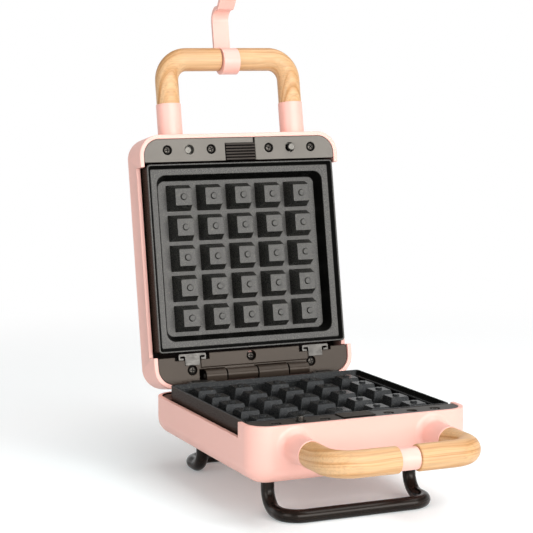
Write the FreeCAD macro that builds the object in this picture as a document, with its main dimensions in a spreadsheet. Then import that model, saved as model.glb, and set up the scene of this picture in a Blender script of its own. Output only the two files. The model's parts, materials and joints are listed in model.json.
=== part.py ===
import FreeCAD, Part
import math
import os
import Sketcher
from FreeCAD import Placement, Rotation, Vector

# A compact waffle maker, drawn with its lid open.
# Each half is drawn closed, in its own frame: the origin is on the hinge axis, X runs across,
# -Y runs to the front and +Z runs from the mating plane into the half.
# The lid is then turned back by open_angle, and the base is turned over about Y.

doc = FreeCAD.newDocument("waffle_maker")
dims = doc.addObject("Spreadsheet::Sheet", "dims")

# Driving dimensions in millimetres and degrees, a group for each kind of piece
SIZES = [
    # pose: the lid's lean, and the hinge axis above the table
    ("open_angle", 99.7), ("floor_drop", 58.0),
    # shells, measured from the hinge axis and the mating plane
    ("shell_width", 138.0), ("shell_front", 155.0), ("shell_rear", 7.0), ("shell_depth", 34.0),
    ("shell_wall", 2.7), ("shell_corner", 13.5), ("shell_edge", 11.0), ("rim_gap", 0.5),
    ("side_drop", 9.5), ("front_step", 20.5), ("rear_step", 13.5), ("step_round", 1.2),
    # grid plates
    ("plate_gap", 1.3), ("plate_rear", 16.0), ("plate_face", 0.7),
    ("plate_depth", 13.5), ("plate_corner", 5.0), ("lip_width", 1.8), ("margin_drop", 3.0),
    ("margin_width", 5.5), ("recess_drop", 11.0), ("recess_corner", 6.0), ("recess_slope", 18.0),
    ("peg_count", 5), ("peg_side", 13.5), ("peg_end", 11.6), ("peg_gap", 2.6), ("peg_draft", 2.8),
    ("peg_height", 10.5), ("dimple_radius", 1.5),
    ("dimple_depth", 0.6), ("lug_width", 16.0), ("lug_reach", 2.6), ("lug_thick", 3.0),
    # fasteners
    ("head_radius", 2.7), ("head_height", 1.3), ("recess_radius", 3.15), ("recess_depth", 1.5),
    ("screw_radius", 1.5), ("screw_length", 11.0), ("screw_play", 0.1), ("boss_radius", 3.5),
    # front strips with their locating pins
    ("strip_face", 0.9), ("strip_thick", 3.0), ("strip_reach", 17.6), ("strip_gap", 1.2),
    ("strip_play", 0.25), ("strip_line", 7.6), ("screw_clear", 9.9), ("screw_inset", 18.8),
    ("pin_radius", 2.25), ("pin_hole", 3.2), ("pin_proud", 3.0), ("pin_drop", 2.6), ("pin_foot", 3.8),
    ("pin_foot_thick", 1.6),
    # plate release buttons
    ("button_width", 20.6), ("button_length", 10.7), ("button_face", 0.15), ("pad_thick", 0.55),
    ("button_travel", 3.0), ("button_play", 0.3), ("flange_side", 2.7), ("flange_thick", 1.6),
    ("slide_play", 0.2), ("rib_count", 5), ("rib_pitch", 1.9), ("groove_width", 0.9),
    ("groove_depth", 0.35), ("slit_width", 1.3), ("tongue_width", 12.0), ("tongue_reach", 1.3),
    ("leaf_thick", 0.5), ("leaf_chord", 11.0),
    # hinge
    ("knuckle_radius", 4.0), ("knuckle_inner", 21.5), ("knuckle_inset", 33.0), ("knuckle_play", 0.25),
    ("trough_play", 0.7), ("trough_end", 2.6), ("trough_wall", 0.9), ("axle_radius", 1.5),
    ("axle_play", 0.05),
    ("cover_face", 1.6), ("cover_thick", 3.0), ("cover_front", 13.0), ("bridge_rise", 1.0),
    ("bridge_rear", 5.6), ("bridge_front", 14.6), ("bridge_gap", 0.6), ("arm_rear", 1.9),
    ("sill_drop", 0.7), ("sill_thick", 2.5), ("sill_front", 14.5), ("sill_screw", 13.0),
    ("cover_screw_left", 25.8), ("cover_screw_right", 29.2), ("cover_screw_line", 4.2),
    ("cover_screw_middle", 10.8), ("cover_screw_shift", 2.5),
    # plate clips
    ("grip_inset", 26.0), ("grip_width", 18.6), ("grip_tab", 10.0), ("grip_thick", 0.8),
    ("grip_rear", 7.4), ("grip_step", 10.8), ("grip_front", 14.9), ("slot_depth", 1.4), ("slot_side", 2.2),
    ("lug_play", 0.3),
    # trays and heaters
    ("tray_inset", 0.7), ("tray_sheet", 0.8), ("tray_gap", 0.1), ("tray_flange", 9.0), ("tray_corner", 5.0),
    ("tray_screw_inset", 5.6), ("tray_boss", 3.0), ("tray_relief", 3.3), ("tray_relief_depth", 3.0),
    ("tube_radius", 3.0), ("tube_inset", 27.0), ("tube_rear", 16.0), ("tube_front", 18.2),
    ("tube_bend", 16.0), ("post_pin_radius", 1.5), ("post_pin_drop", 8.0), ("post_hole", 3.0),
    ("disc_radius", 8.0), ("disc_height", 6.0), ("disc_plate", 11.0), ("disc_plate_thick", 1.0),
    ("fuse_radius", 2.2), ("fuse_length", 18.0), ("fuse_line", 52.0),
    # handles
    ("handle_inset", 26.0), ("handle_drop", 21.0), ("post_radius", 8.0), ("post_length", 21.0),
    ("post_blend", 4.2), ("post_bore", 2.1), ("bar_length", 29.0), ("wood_radius", 7.5), ("wood_bend", 14.0),
    ("wood_gap", 11.8), ("wood_round", 0.8), ("dowel_radius", 5.0), ("dowel_play", 0.06),
    ("dowel_depth", 14.0),
    ("band_radius", 6.3), ("band_play", 0.2), ("bolt_radius", 1.9), ("bolt_head", 3.2),
    ("bolt_head_height", 2.1), ("bolt_depth", 12.0),
    # swing clip on the upper handle
    ("ring_radius", 8.6), ("ring_sink", 1.4), ("ring_lead", 1.2), ("ring_side", 0.3), ("hook_play", 0.25),
    ("lever_thick", 2.6), ("hook_wrap", 12.0), ("tab_rise", 6.6), ("tab_run", 7.0), ("tab_lip", 2.8),
    ("clip_round", 0.7),
    # bent-rod feet
    ("rod_radius", 3.9), ("foot_side", 23.3), ("foot_front", 32.6), ("foot_rear", 20.2), ("foot_run", 27.0),
    ("foot_bend", 11.5), ("rod_flat", 0.25), ("rod_seat", 7.0), ("rod_play", 0.15), ("socket_radius", 6.5),
    ("socket_height", 9.4),
    # mains inlet and indicator lamps
    ("gland_radius", 4.0), ("gland_flange", 5.0), ("gland_flange_thick", 2.2),
    ("gland_bore", 3.2), ("gland_play", 0.1), ("gland_nut", 3.0), ("block_width", 28.0), ("block_rear", 6.0),
    ("block_length", 10.0), ("block_height", 8.0),
    ("lens_radius", 3.0), ("lens_reach", 7.0), ("lens_line", 20.0), ("lens_proud", 0.4),
    ("lens_flange", 4.2), ("lens_flange_thick", 1.0), ("lens_play", 0.1),
    # middle of the whole object along Y, worked out below
    ("origin_shift", 0.0),
]
for row, (alias, size) in enumerate(SIZES, 1):
    dims.set(f"A{row}", alias)
    dims.set(f"B{row}", str(size))
    dims.setAlias(f"B{row}", alias)
doc.recompute()

# Places that several pieces share, as expressions of the sheet
HALF_WIDTH = "(dims.shell_width / 2)"
INNER_HALF = "(dims.shell_width / 2 - dims.shell_wall)"
INNER_FRONT = "(dims.shell_front - dims.shell_wall)"
INNER_FLOOR = "(dims.shell_depth - dims.shell_wall)"
INNER_CORNER = "(dims.shell_corner - dims.shell_wall)"
STRIP_SEAT = "(dims.strip_face + dims.strip_thick)"
COVER_SEAT = "(dims.cover_face + dims.cover_thick)"
SILL_FACE = "(dims.side_drop + dims.sill_drop)"
SILL_SEAT = f"({SILL_FACE} + dims.sill_thick)"
TRAY_FACE = "(dims.plate_depth + dims.tray_gap)"
TRAY_SEAT = f"({TRAY_FACE} + dims.tray_sheet)"
TUBE_AXIS = f"({TRAY_FACE} + dims.tube_radius)"
PAN_FLOOR = f"({TUBE_AXIS} + dims.tube_radius + dims.tray_gap)"
PAN_BACK = f"({PAN_FLOOR} + dims.tray_sheet)"
SOCKET_TOP = "(dims.shell_depth - dims.socket_height)"
ROD_TOP = "(dims.shell_depth - dims.rod_seat)"
ROD_AXIS = "(dims.floor_drop - dims.rod_radius + dims.rod_flat)"
LUG_FACE = "(dims.cover_face + dims.lug_play)"
HOOK_RADIUS = "(dims.band_radius + dims.hook_play)"
SINK = "dims.shell_wall / 2"
HANDLE_REACH = f"({HALF_WIDTH} - dims.handle_inset)"
HANDLE_OFFSET = "(dims.shell_depth - dims.handle_drop)"
POST_END = "(dims.shell_front + dims.post_length)"
BAR_REACH = f"({POST_END} + dims.bar_length)"
PLATE_SIDE = f"({INNER_HALF} - dims.plate_gap)"
STRIP_REAR = "(dims.shell_front - dims.strip_reach)"
STRIP_LINE = f"({STRIP_REAR} + dims.strip_line)"
PLATE_FRONT = f"({STRIP_REAR} - dims.strip_gap)"
PLATE_MIDDLE = f"((dims.plate_rear + {PLATE_FRONT}) / 2)"
PEG_ACROSS = f"(2 * ({PLATE_SIDE} - dims.peg_side) / dims.peg_count)"
PEG_ALONG = f"(({PLATE_FRONT} - dims.plate_rear - 2 * dims.peg_end) / dims.peg_count)"
PEG_BASE = f"({PEG_ALONG} - dims.peg_gap)"
PEG_TOP = f"({PEG_BASE} - 2 * dims.peg_draft)"
FRONT_STEP = "(dims.shell_front - dims.front_step)"
BUTTON_REAR = f"({STRIP_REAR} + dims.button_play)"
SCREW_INNER = "(dims.button_width / 2 + dims.screw_clear)"
SCREW_OUTER = f"({HALF_WIDTH} - dims.screw_inset)"
PIN_REACH = f"(({SCREW_INNER} + {SCREW_OUTER}) / 2)"
GRIP_REACH = f"({HALF_WIDTH} - dims.grip_inset)"
KNUCKLE_END = f"({HALF_WIDTH} - dims.knuckle_inset)"
COVER_LEFT = f"({HALF_WIDTH} - dims.cover_screw_left)"
COVER_RIGHT = f"({HALF_WIDTH} - dims.cover_screw_right)"
SILL_SCREW = f"({HALF_WIDTH} - dims.sill_screw)"
TUBE_REACH = f"({PLATE_SIDE} - dims.tube_inset)"
TUBE_REAR = "(dims.plate_rear + dims.tube_rear)"
TUBE_FRONT = f"({PLATE_FRONT} - dims.tube_front)"
FOOT_REACH = f"({HALF_WIDTH} - dims.foot_side)"
FOOT_FRONT = "(dims.shell_front - dims.foot_front)"
GLAND_LINE = f"({SILL_SEAT} + dims.gland_flange + 3 * dims.gland_play)"
LENS_LINE = "(dims.shell_front - dims.lens_line)"

nodes = []


def value(expression):
    return float(dims.evalExpression(expression))


def new_body(label, half):
    body = doc.addObject("PartDesign::Body", label)
    body.Label = label
    place(body, half)
    nodes.append(body)
    return body


def place(node, half):
    if half == "lid":
        node.Placement = Placement(Vector(), Rotation(Vector(1, 0, 0), 0))
        node.setExpression("Placement.Rotation.Angle", "-dims.open_angle")
    else:
        node.Placement = Placement(Vector(), Rotation(Vector(0, 1, 0), 180))
    node.setExpression("Placement.Base.y", "dims.origin_shift")
    node.setExpression("Placement.Base.z", "dims.floor_drop")


def new_sketch(body, role="XY_Plane", offset="0"):
    # The sketch's own Z is +Z on XY_Plane, -Y on XZ_Plane and +X on YZ_Plane
    sketch = body.newObject("Sketcher::SketchObject", "Sketch")
    plane = [feature for feature in body.Origin.OriginFeatures if feature.Role == role][0]
    sketch.AttachmentSupport = [(plane, "")]
    sketch.MapMode = "FlatFace"
    sketch.setExpression("AttachmentOffset.Base.z", offset)
    return sketch


def drive(sketch, constraint, expression):
    index = sketch.addConstraint(constraint)
    sketch.setExpression(f"Constraints[{index}]", expression)


def pin_point(sketch, geometry, point, x, y):
    for kind, cross_axis, text in (("DistanceX", -2, x), ("DistanceY", -1, y)):
        if text == "0":
            sketch.addConstraint(Sketcher.Constraint("PointOnObject", geometry, point, cross_axis))
        else:
            drive(sketch, Sketcher.Constraint(kind, -1, 1, geometry, point, value(text)), text)


def circles(sketch, centres, radius):
    for x, y in centres:
        centre = Vector(value(x), value(y), 0)
        circle = sketch.addGeometry(Part.Circle(centre, Vector(0, 0, 1), value(radius)))
        drive(sketch, Sketcher.Constraint("Radius", circle, value(radius)), radius)
        pin_point(sketch, circle, 3, x, y)


def polygon(sketch, points):
    corners = [Vector(value(x), value(y), 0) for x, y in points]
    count = len(corners)
    lines = [sketch.addGeometry(Part.LineSegment(corners[i], corners[(i + 1) % count])) for i in range(count)]
    for i in range(count):
        sketch.addConstraint(Sketcher.Constraint("Coincident", lines[i], 2, lines[(i + 1) % count], 1))
    for line, (x, y) in zip(lines, points):
        pin_point(sketch, line, 1, x, y)


def rectangle(sketch, left, right, low, high):
    polygon(sketch, [(left, low), (right, low), (right, high), (left, high)])


def rounded_rectangle(sketch, left, right, low, high, low_radius, high_radius=None):
    high_radius = high_radius or low_radius
    x = [value(left), value(right)]
    y = [value(low), value(high)]
    r = [value(low_radius), value(high_radius)]
    bottom = Part.LineSegment(Vector(x[0] + r[0], y[0], 0), Vector(x[1] - r[0], y[0], 0))
    side = Part.LineSegment(Vector(x[1], y[0] + r[0], 0), Vector(x[1], y[1] - r[1], 0))
    top = Part.LineSegment(Vector(x[1] - r[1], y[1], 0), Vector(x[0] + r[1], y[1], 0))
    back = Part.LineSegment(Vector(x[0], y[1] - r[1], 0), Vector(x[0], y[0] + r[0], 0))
    lines = [sketch.addGeometry(line) for line in (bottom, side, top, back)]
    centres = [(x[1] - r[0], y[0] + r[0]), (x[1] - r[1], y[1] - r[1]), (x[0] + r[1], y[1] - r[1]),
               (x[0] + r[0], y[0] + r[0])]
    arcs = []
    for i, (cx, cy) in enumerate(centres):
        radius = r[1] if i in (1, 2) else r[0]
        circle = Part.Circle(Vector(cx, cy, 0), Vector(0, 0, 1), radius)
        start = (i - 1) * math.pi / 2
        arcs.append(sketch.addGeometry(Part.ArcOfCircle(circle, start, start + math.pi / 2)))
    for i in range(4):
        sketch.addConstraint(Sketcher.Constraint("Tangent", lines[i], 2, arcs[i], 1))
        sketch.addConstraint(Sketcher.Constraint("Tangent", arcs[i], 2, lines[(i + 1) % 4], 1))
        sketch.addConstraint(Sketcher.Constraint("Vertical" if i % 2 else "Horizontal", lines[i]))
    sketch.addConstraint(Sketcher.Constraint("Equal", arcs[0], arcs[3]))
    sketch.addConstraint(Sketcher.Constraint("Equal", arcs[1], arcs[2]))
    drive(sketch, Sketcher.Constraint("Radius", arcs[0], r[0]), low_radius)
    drive(sketch, Sketcher.Constraint("Radius", arcs[1], r[1]), high_radius)
    drive(sketch, Sketcher.Constraint("DistanceX", -1, 1, lines[3], 1, x[0]), left)
    drive(sketch, Sketcher.Constraint("DistanceX", -1, 1, lines[1], 1, x[1]), right)
    drive(sketch, Sketcher.Constraint("DistanceY", -1, 1, lines[0], 1, y[0]), low)
    drive(sketch, Sketcher.Constraint("DistanceY", -1, 1, lines[2], 1, y[1]), high)


def bent_path(sketch, points, radius):
    # An open run of straight legs, each square to the next, with a tangent arc at every corner
    bend = value(radius)
    corners = [Vector(value(x), value(y), 0) for x, y in points]
    ways = [(b - a).normalize() for a, b in zip(corners, corners[1:])]
    starts = [corners[0]] + [corner + way * bend for corner, way in zip(corners[1:-1], ways[1:])]
    ends = [corner - way * bend for corner, way in zip(corners[1:-1], ways)] + [corners[-1]]
    lines = [sketch.addGeometry(Part.LineSegment(a, b)) for a, b in zip(starts, ends)]
    for line, way in zip(lines, ways):
        level = abs(way.x) > abs(way.y)
        sketch.addConstraint(Sketcher.Constraint("Horizontal" if level else "Vertical", line))
    for i in range(len(lines) - 1):
        left_turn = ways[i].cross(ways[i + 1]).z > 0
        centre = ends[i] + ways[i + 1] * bend
        first = ends[i] if left_turn else starts[i + 1]
        begin = math.atan2(first.y - centre.y, first.x - centre.x)
        circle = Part.Circle(centre, Vector(0, 0, 1), bend)
        arc = sketch.addGeometry(Part.ArcOfCircle(circle, begin, begin + math.pi / 2))
        sketch.addConstraint(Sketcher.Constraint("Tangent", lines[i], 2, arc, 1 if left_turn else 2))
        sketch.addConstraint(Sketcher.Constraint("Tangent", arc, 2 if left_turn else 1, lines[i + 1], 1))
        drive(sketch, Sketcher.Constraint("Radius", arc, bend), radius)
    pin_point(sketch, lines[0], 1, *points[0])
    pin_point(sketch, lines[-1], 2, *points[-1])
    for line, (x, y), way in zip(lines[1:-1], points[1:-2], ways[1:-1]):
        kind, place_text = ("DistanceY", y) if abs(way.x) > abs(way.y) else ("DistanceX", x)
        drive(sketch, Sketcher.Constraint(kind, -1, 1, line, 1, value(place_text)), place_text)


def pad(body, sketch, length, along=True, taper=None):
    feature = body.newObject("PartDesign::Pad", "Pad")
    feature.Profile = sketch
    feature.Reversed = not along
    feature.setExpression("Length", length)
    if taper:
        feature.setExpression("TaperAngle", taper)
    return feature


def pocket(body, sketch, length, along=True, taper=None):
    feature = body.newObject("PartDesign::Pocket", "Pocket")
    feature.Profile = sketch
    feature.Reversed = along
    feature.setExpression("Length", length)
    if taper:
        feature.setExpression("TaperAngle", taper)
    return feature


def pipe(body, section, path):
    feature = body.newObject("PartDesign::AdditivePipe", "Pipe")
    feature.Profile = section
    feature.Spine = (path, [f"Edge{i + 1}" for i in range(len(path.Shape.Edges))])
    return feature


def fillet(body, radius, is_edge):
    doc.recompute()
    feature = body.newObject("PartDesign::Fillet", "Fillet")
    base = feature.BaseFeature or body.Tip
    names = [f"Edge{i + 1}" for i, edge in enumerate(base.Shape.Edges) if is_edge(edge)]
    feature.Base = (base, names)
    feature.setExpression("Radius", radius)
    body.Tip = feature
    return feature


def axis(body, role):
    return ([feature for feature in body.Origin.OriginFeatures if feature.Role == role][0], [""])


def grid(body, originals, rows):
    # Repeats features in one or two directions: rows holds (axis, pitch, count) for each
    feature = body.newObject("PartDesign::LinearPattern", "Pattern")
    feature.Originals = originals
    for suffix, (role, pitch, count) in zip(("", "2"), rows):
        setattr(feature, f"Direction{suffix}", axis(body, role))
        feature.setExpression(f"Length{suffix}", f"({count} - 1) * {pitch}")
        feature.setExpression(f"Occurrences{suffix}", count)
    body.Tip = feature
    return feature


def mirror_in_x(body, originals):
    feature = body.newObject("PartDesign::Mirrored", "Mirror")
    feature.Originals = originals
    feature.MirrorPlane = axis(body, "YZ_Plane")
    body.Tip = feature
    return feature


def both_sides(x, y):
    return [(f"-({x})", y), (x, y)]


def screws(label, half, centres, seat, length="dims.screw_length"):
    # Pan-head screws driven along +Z, their heads resting on the seat
    body = new_body(label, half)
    head = new_sketch(body, offset=f"{seat} - dims.head_height")
    circles(head, centres, "dims.head_radius")
    pad(body, head, "dims.head_height")
    shank = new_sketch(body, offset=seat)
    circles(shank, centres, "dims.screw_radius")
    pad(body, shank, length)


def bosses(body, centres, top, radius):
    # Round posts from the shell's floor up to what they carry, drilled for its screws
    post = new_sketch(body, offset=top)
    circles(post, centres, radius)
    pad(body, post, f"{INNER_FLOOR} + {SINK} - {top}")
    drill = new_sketch(body, offset=top)
    circles(drill, centres, "dims.screw_radius + dims.screw_play")
    pocket(body, drill, "dims.screw_length")


STRIP_SCREWS = (both_sides(SCREW_INNER, f"-{STRIP_LINE}")
                + both_sides(SCREW_OUTER, f"-{STRIP_LINE}"))
STRIP_PINS = both_sides(PIN_REACH, f"-{STRIP_LINE}")
TRAY_SIDE = f"{PLATE_SIDE} - dims.tray_screw_inset"
TRAY_SCREWS = (both_sides(TRAY_SIDE, "-dims.plate_rear - dims.tray_screw_inset")
               + both_sides(TRAY_SIDE, f"-{PLATE_FRONT} + dims.tray_screw_inset"))
COVER_SCREWS = [(f"-{COVER_LEFT}", "-dims.cover_screw_line"),
                (COVER_RIGHT, "-dims.cover_screw_line"),
                ("-dims.cover_screw_shift", "-dims.cover_screw_middle")]
SILL_SCREWS = both_sides(SILL_SCREW, "-dims.cover_screw_line")
FOOT_LEGS = both_sides(FOOT_REACH, f"-{FOOT_FRONT}") + both_sides(FOOT_REACH, "-dims.foot_rear")
LENSES = both_sides("dims.lens_reach", f"-{LENS_LINE}")


def shell(half):
    # A deep pan with low side walls, a raised front wall and two handle posts
    body = new_body(f"{half}_shell", half)
    outline = new_sketch(body, offset="dims.rim_gap")
    rounded_rectangle(outline, f"-{HALF_WIDTH}", HALF_WIDTH, "-dims.shell_front", "dims.shell_rear",
                      "dims.shell_corner")
    pad(body, outline, "dims.shell_depth - dims.rim_gap")
    back = value("dims.shell_depth") - 0.01
    rounded = fillet(body, "dims.shell_edge", lambda edge: edge.BoundBox.ZMin > back)
    doc.recompute()
    rim = value("dims.rim_gap") + 0.01
    hollow = body.newObject("PartDesign::Thickness", "Hollow")
    hollow.Base = (rounded, [f"Face{i + 1}" for i, face in enumerate(rounded.Shape.Faces)
                             if face.BoundBox.ZMax < rim])
    hollow.setExpression("Value", "dims.shell_wall")
    hollow.Reversed = True
    body.Tip = hollow
    # the low side walls: the lid keeps a raised wall round its hinge, the base is low right through
    low = new_sketch(body, "YZ_Plane", "-dims.shell_width")
    low_end = "-dims.rear_step" if half == "lid" else "dims.shell_rear + dims.shell_wall"
    rectangle(low, f"-{FRONT_STEP}", low_end, "-dims.shell_wall", "dims.side_drop")
    pocket(body, low, "2 * dims.shell_width")
    # handle posts, drilled for the bolts
    centres = both_sides(HANDLE_REACH, HANDLE_OFFSET)
    post = new_sketch(body, "XZ_Plane", INNER_FRONT)
    circles(post, centres, "dims.post_radius")
    pad(body, post, f"{POST_END} - {INNER_FRONT}")
    if half == "base":
        front = -value("dims.shell_front")
        size = value("dims.post_radius")
        fillet(body, "dims.post_blend", lambda edge: abs(edge.BoundBox.YMin - front) < 0.01
               and abs(edge.BoundBox.YMax - front) < 0.01 and getattr(edge.Curve, "Radius", 0) == size)
    bore = new_sketch(body, "XZ_Plane", POST_END)
    circles(bore, centres, "dims.post_bore")
    pocket(body, bore, f"{POST_END} - {INNER_FRONT} + {SINK}", along=False)
    bosses(body, STRIP_SCREWS, STRIP_SEAT, "dims.boss_radius")
    bosses(body, TRAY_SCREWS, TRAY_SEAT, "dims.tray_boss")
    if half == "lid":
        bosses(body, COVER_SCREWS, COVER_SEAT, "dims.boss_radius")
        window = new_sketch(body, offset=INNER_FLOOR)
        circles(window, LENSES, "dims.lens_radius + dims.lens_play")
        pocket(body, window, "2 * dims.shell_wall")
    else:
        bosses(body, SILL_SCREWS, SILL_SEAT, "dims.boss_radius")
        bosses(body, FOOT_LEGS, SOCKET_TOP, "dims.socket_radius")
        seat = new_sketch(body, offset="dims.shell_depth")
        circles(seat, FOOT_LEGS, "dims.rod_radius + dims.rod_play")
        pocket(body, seat, "dims.rod_seat", along=False)
        inlet = new_sketch(body, "XZ_Plane", "-dims.shell_rear")
        circles(inlet, [("0", GLAND_LINE)], "dims.gland_radius + dims.gland_play")
        pocket(body, inlet, "dims.shell_wall + 1.0 * dims.gland_play")


def plate(half):
    # A cast plate with a thin lip, a sunk margin and a sloped recess full of tapered pegs
    body = new_body(f"{half}_plate", half)
    side = PLATE_SIDE
    outline = new_sketch(body, offset="dims.plate_face")
    rounded_rectangle(outline, f"-{side}", side, f"-{PLATE_FRONT}", "-dims.plate_rear", "dims.plate_corner")
    pad(body, outline, "dims.plate_depth - dims.plate_face")
    inset = "dims.lip_width"
    margin = new_sketch(body, offset="dims.plate_face")
    rounded_rectangle(margin, f"-{side} + {inset}", f"{side} - {inset}", f"-{PLATE_FRONT} + {inset}",
                      f"-dims.plate_rear - {inset}", "dims.plate_corner - dims.lip_width")
    pocket(body, margin, "dims.margin_drop")
    inset = "(dims.lip_width + dims.margin_width)"
    recess = new_sketch(body, offset="dims.plate_face + dims.margin_drop")
    rounded_rectangle(recess, f"-{side} + {inset}", f"{side} - {inset}", f"-{PLATE_FRONT} + {inset}",
                      f"-dims.plate_rear - {inset}", "dims.recess_corner")
    pocket(body, recess, "dims.recess_drop - dims.margin_drop", taper="-dims.recess_slope")
    # one peg in the corner of the grid, with the dimple in its top, and the rest as a pattern
    floor = "(dims.plate_face + dims.recess_drop)"
    x = f"-(dims.peg_count - 1) / 2 * {PEG_ACROSS}"
    y = f"-{PLATE_MIDDLE} - (dims.peg_count - 1) / 2 * {PEG_ALONG}"
    foot = new_sketch(body, offset=floor)
    rectangle(foot, f"{x} - {PEG_BASE} / 2", f"{x} + {PEG_BASE} / 2", f"{y} - {PEG_BASE} / 2",
              f"{y} + {PEG_BASE} / 2")
    peg = pad(body, foot, "dims.peg_height", along=False,
              taper=f"-atan(({PEG_BASE} - {PEG_TOP}) / 2 / dims.peg_height)")
    top = new_sketch(body, offset=f"{floor} - dims.peg_height")
    circles(top, [(x, y)], "dims.dimple_radius")
    dimple = pocket(body, top, "dims.dimple_depth")
    grid(body, [peg, dimple], [("X_Axis", PEG_ACROSS, "dims.peg_count"),
                               ("Y_Axis", PEG_ALONG, "dims.peg_count")])
    # rear lugs for the clips, a front slot for the release tongue, and room for the tray's screw heads
    lug = new_sketch(body, offset=LUG_FACE)
    for centre in (f"-{GRIP_REACH}", GRIP_REACH):
        rectangle(lug, f"{centre} - dims.lug_width / 2", f"{centre} + dims.lug_width / 2",
                  "-dims.plate_rear - dims.lip_width / 2", "-dims.plate_rear + dims.lug_reach")
    pad(body, lug, "dims.lug_thick")
    slot = new_sketch(body, "XZ_Plane", PLATE_FRONT)
    half_slot = "dims.tongue_width / 2 + dims.button_play"
    rectangle(slot, f"-({half_slot})", half_slot, f"{STRIP_SEAT} + dims.slide_play - dims.button_play",
              f"{STRIP_SEAT} + dims.slide_play + dims.flange_thick + dims.button_play")
    pocket(body, slot, "dims.tongue_reach + dims.button_play", along=False)
    relief = new_sketch(body, offset="dims.plate_depth")
    circles(relief, TRAY_SCREWS, "dims.tray_relief")
    pocket(body, relief, "dims.tray_relief_depth", along=False)


def front_strip(half):
    # The cover of the front mechanism: notched and slit for the button, counterbored for four screws
    body = new_body(f"{half}_front_strip", half)
    side = f"({INNER_HALF} - dims.strip_play)"
    outline = new_sketch(body, offset="dims.strip_face")
    rounded_rectangle(outline, f"-{side}", side, f"-{INNER_FRONT} + dims.strip_play", f"-{STRIP_REAR}",
                      f"{INNER_CORNER} - dims.strip_play", "dims.step_round")
    pad(body, outline, "dims.strip_thick")
    notch = new_sketch(body, offset="dims.strip_face")
    half_notch = "dims.button_width / 2 + dims.button_play"
    rectangle(notch, f"-({half_notch})", half_notch,
              f"-{BUTTON_REAR} - dims.button_length - dims.button_play", f"-{STRIP_REAR} + dims.strip_thick")
    pocket(body, notch, "dims.strip_thick")
    slit = new_sketch(body, offset="dims.strip_face")
    rectangle(slit, f"{half_notch} - dims.slit_width", half_notch, f"-{INNER_FRONT}",
              f"-{BUTTON_REAR} - dims.button_length")
    pocket(body, slit, "dims.strip_thick")
    recess = new_sketch(body, offset="dims.strip_face")
    circles(recess, STRIP_SCREWS, "dims.recess_radius")
    pocket(body, recess, "dims.recess_depth")
    drill = new_sketch(body, offset="dims.strip_face + dims.recess_depth")
    circles(drill, STRIP_SCREWS, "dims.screw_radius + dims.screw_play")
    pocket(body, drill, "dims.strip_thick - dims.recess_depth")
    hole = new_sketch(body, offset="dims.strip_face")
    circles(hole, STRIP_PINS, "dims.pin_hole")
    pocket(body, hole, "dims.strip_thick")


def strip_pins(half):
    # Locating pins: one stands proud, and the other lies back in its hole to let in the opposite one
    body = new_body(f"{half}_strip_pins", half)
    tips = ((PIN_REACH, "dims.strip_face - dims.pin_proud"),
            (f"-{PIN_REACH}", "dims.strip_face + dims.pin_drop"))
    for across, tip in tips:
        stem = new_sketch(body, offset=tip)
        circles(stem, [(across, f"-{STRIP_LINE}")], "dims.pin_radius")
        pad(body, stem, f"{STRIP_SEAT} - ({tip})")
    foot = new_sketch(body, offset=STRIP_SEAT)
    circles(foot, STRIP_PINS, "dims.pin_foot")
    pad(body, foot, "dims.pin_foot_thick")


def release_button(half):
    # A ribbed thumb pad that slides over the strip's front edge, a shorter block that leaves it room,
    # a flange that runs under the strip, and the tongue that holds the plate
    body = new_body(f"{half}_release_button", half)
    flange_face = f"({STRIP_SEAT} + dims.slide_play)"
    button_front = f"({BUTTON_REAR} + dims.button_length)"
    thumb = new_sketch(body, offset="dims.button_face")
    rounded_rectangle(thumb, "-dims.button_width / 2", "dims.button_width / 2", f"-{button_front}",
                      f"-{BUTTON_REAR}", "dims.step_round / 2")
    pad(body, thumb, "dims.pad_thick")
    pad_back = "(dims.button_face + dims.pad_thick)"
    block = new_sketch(body, offset=pad_back)
    rounded_rectangle(block, "-dims.button_width / 2", "dims.button_width / 2",
                      f"-{button_front} + dims.button_travel + dims.button_play", f"-{BUTTON_REAR}",
                      "dims.step_round / 2")
    pad(body, block, f"{flange_face} - {pad_back}")
    flange = new_sketch(body, offset=flange_face)
    half_flange = "(dims.button_width / 2 + dims.flange_side)"
    rectangle(flange, f"-{half_flange}", half_flange, f"-{button_front} - dims.button_play * 2",
              f"-{BUTTON_REAR} - dims.button_play")
    pad(body, flange, "dims.flange_thick")
    tongue = new_sketch(body, offset=flange_face)
    rectangle(tongue, "-dims.tongue_width / 2", "dims.tongue_width / 2", f"-{button_front}",
              f"-{PLATE_FRONT} + dims.tongue_reach")
    pad(body, tongue, "dims.flange_thick")
    groove = new_sketch(body, offset="dims.button_face")
    first = f"(-{button_front} + (dims.button_length - (dims.rib_count - 1) * dims.rib_pitch) / 2)"
    rectangle(groove, "-dims.button_width", "dims.button_width", f"{first} - dims.groove_width / 2",
              f"{first} + dims.groove_width / 2")
    cut = pocket(body, groove, "dims.groove_depth")
    grid(body, [cut], [("Y_Axis", "dims.rib_pitch", "dims.rib_count")])


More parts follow.
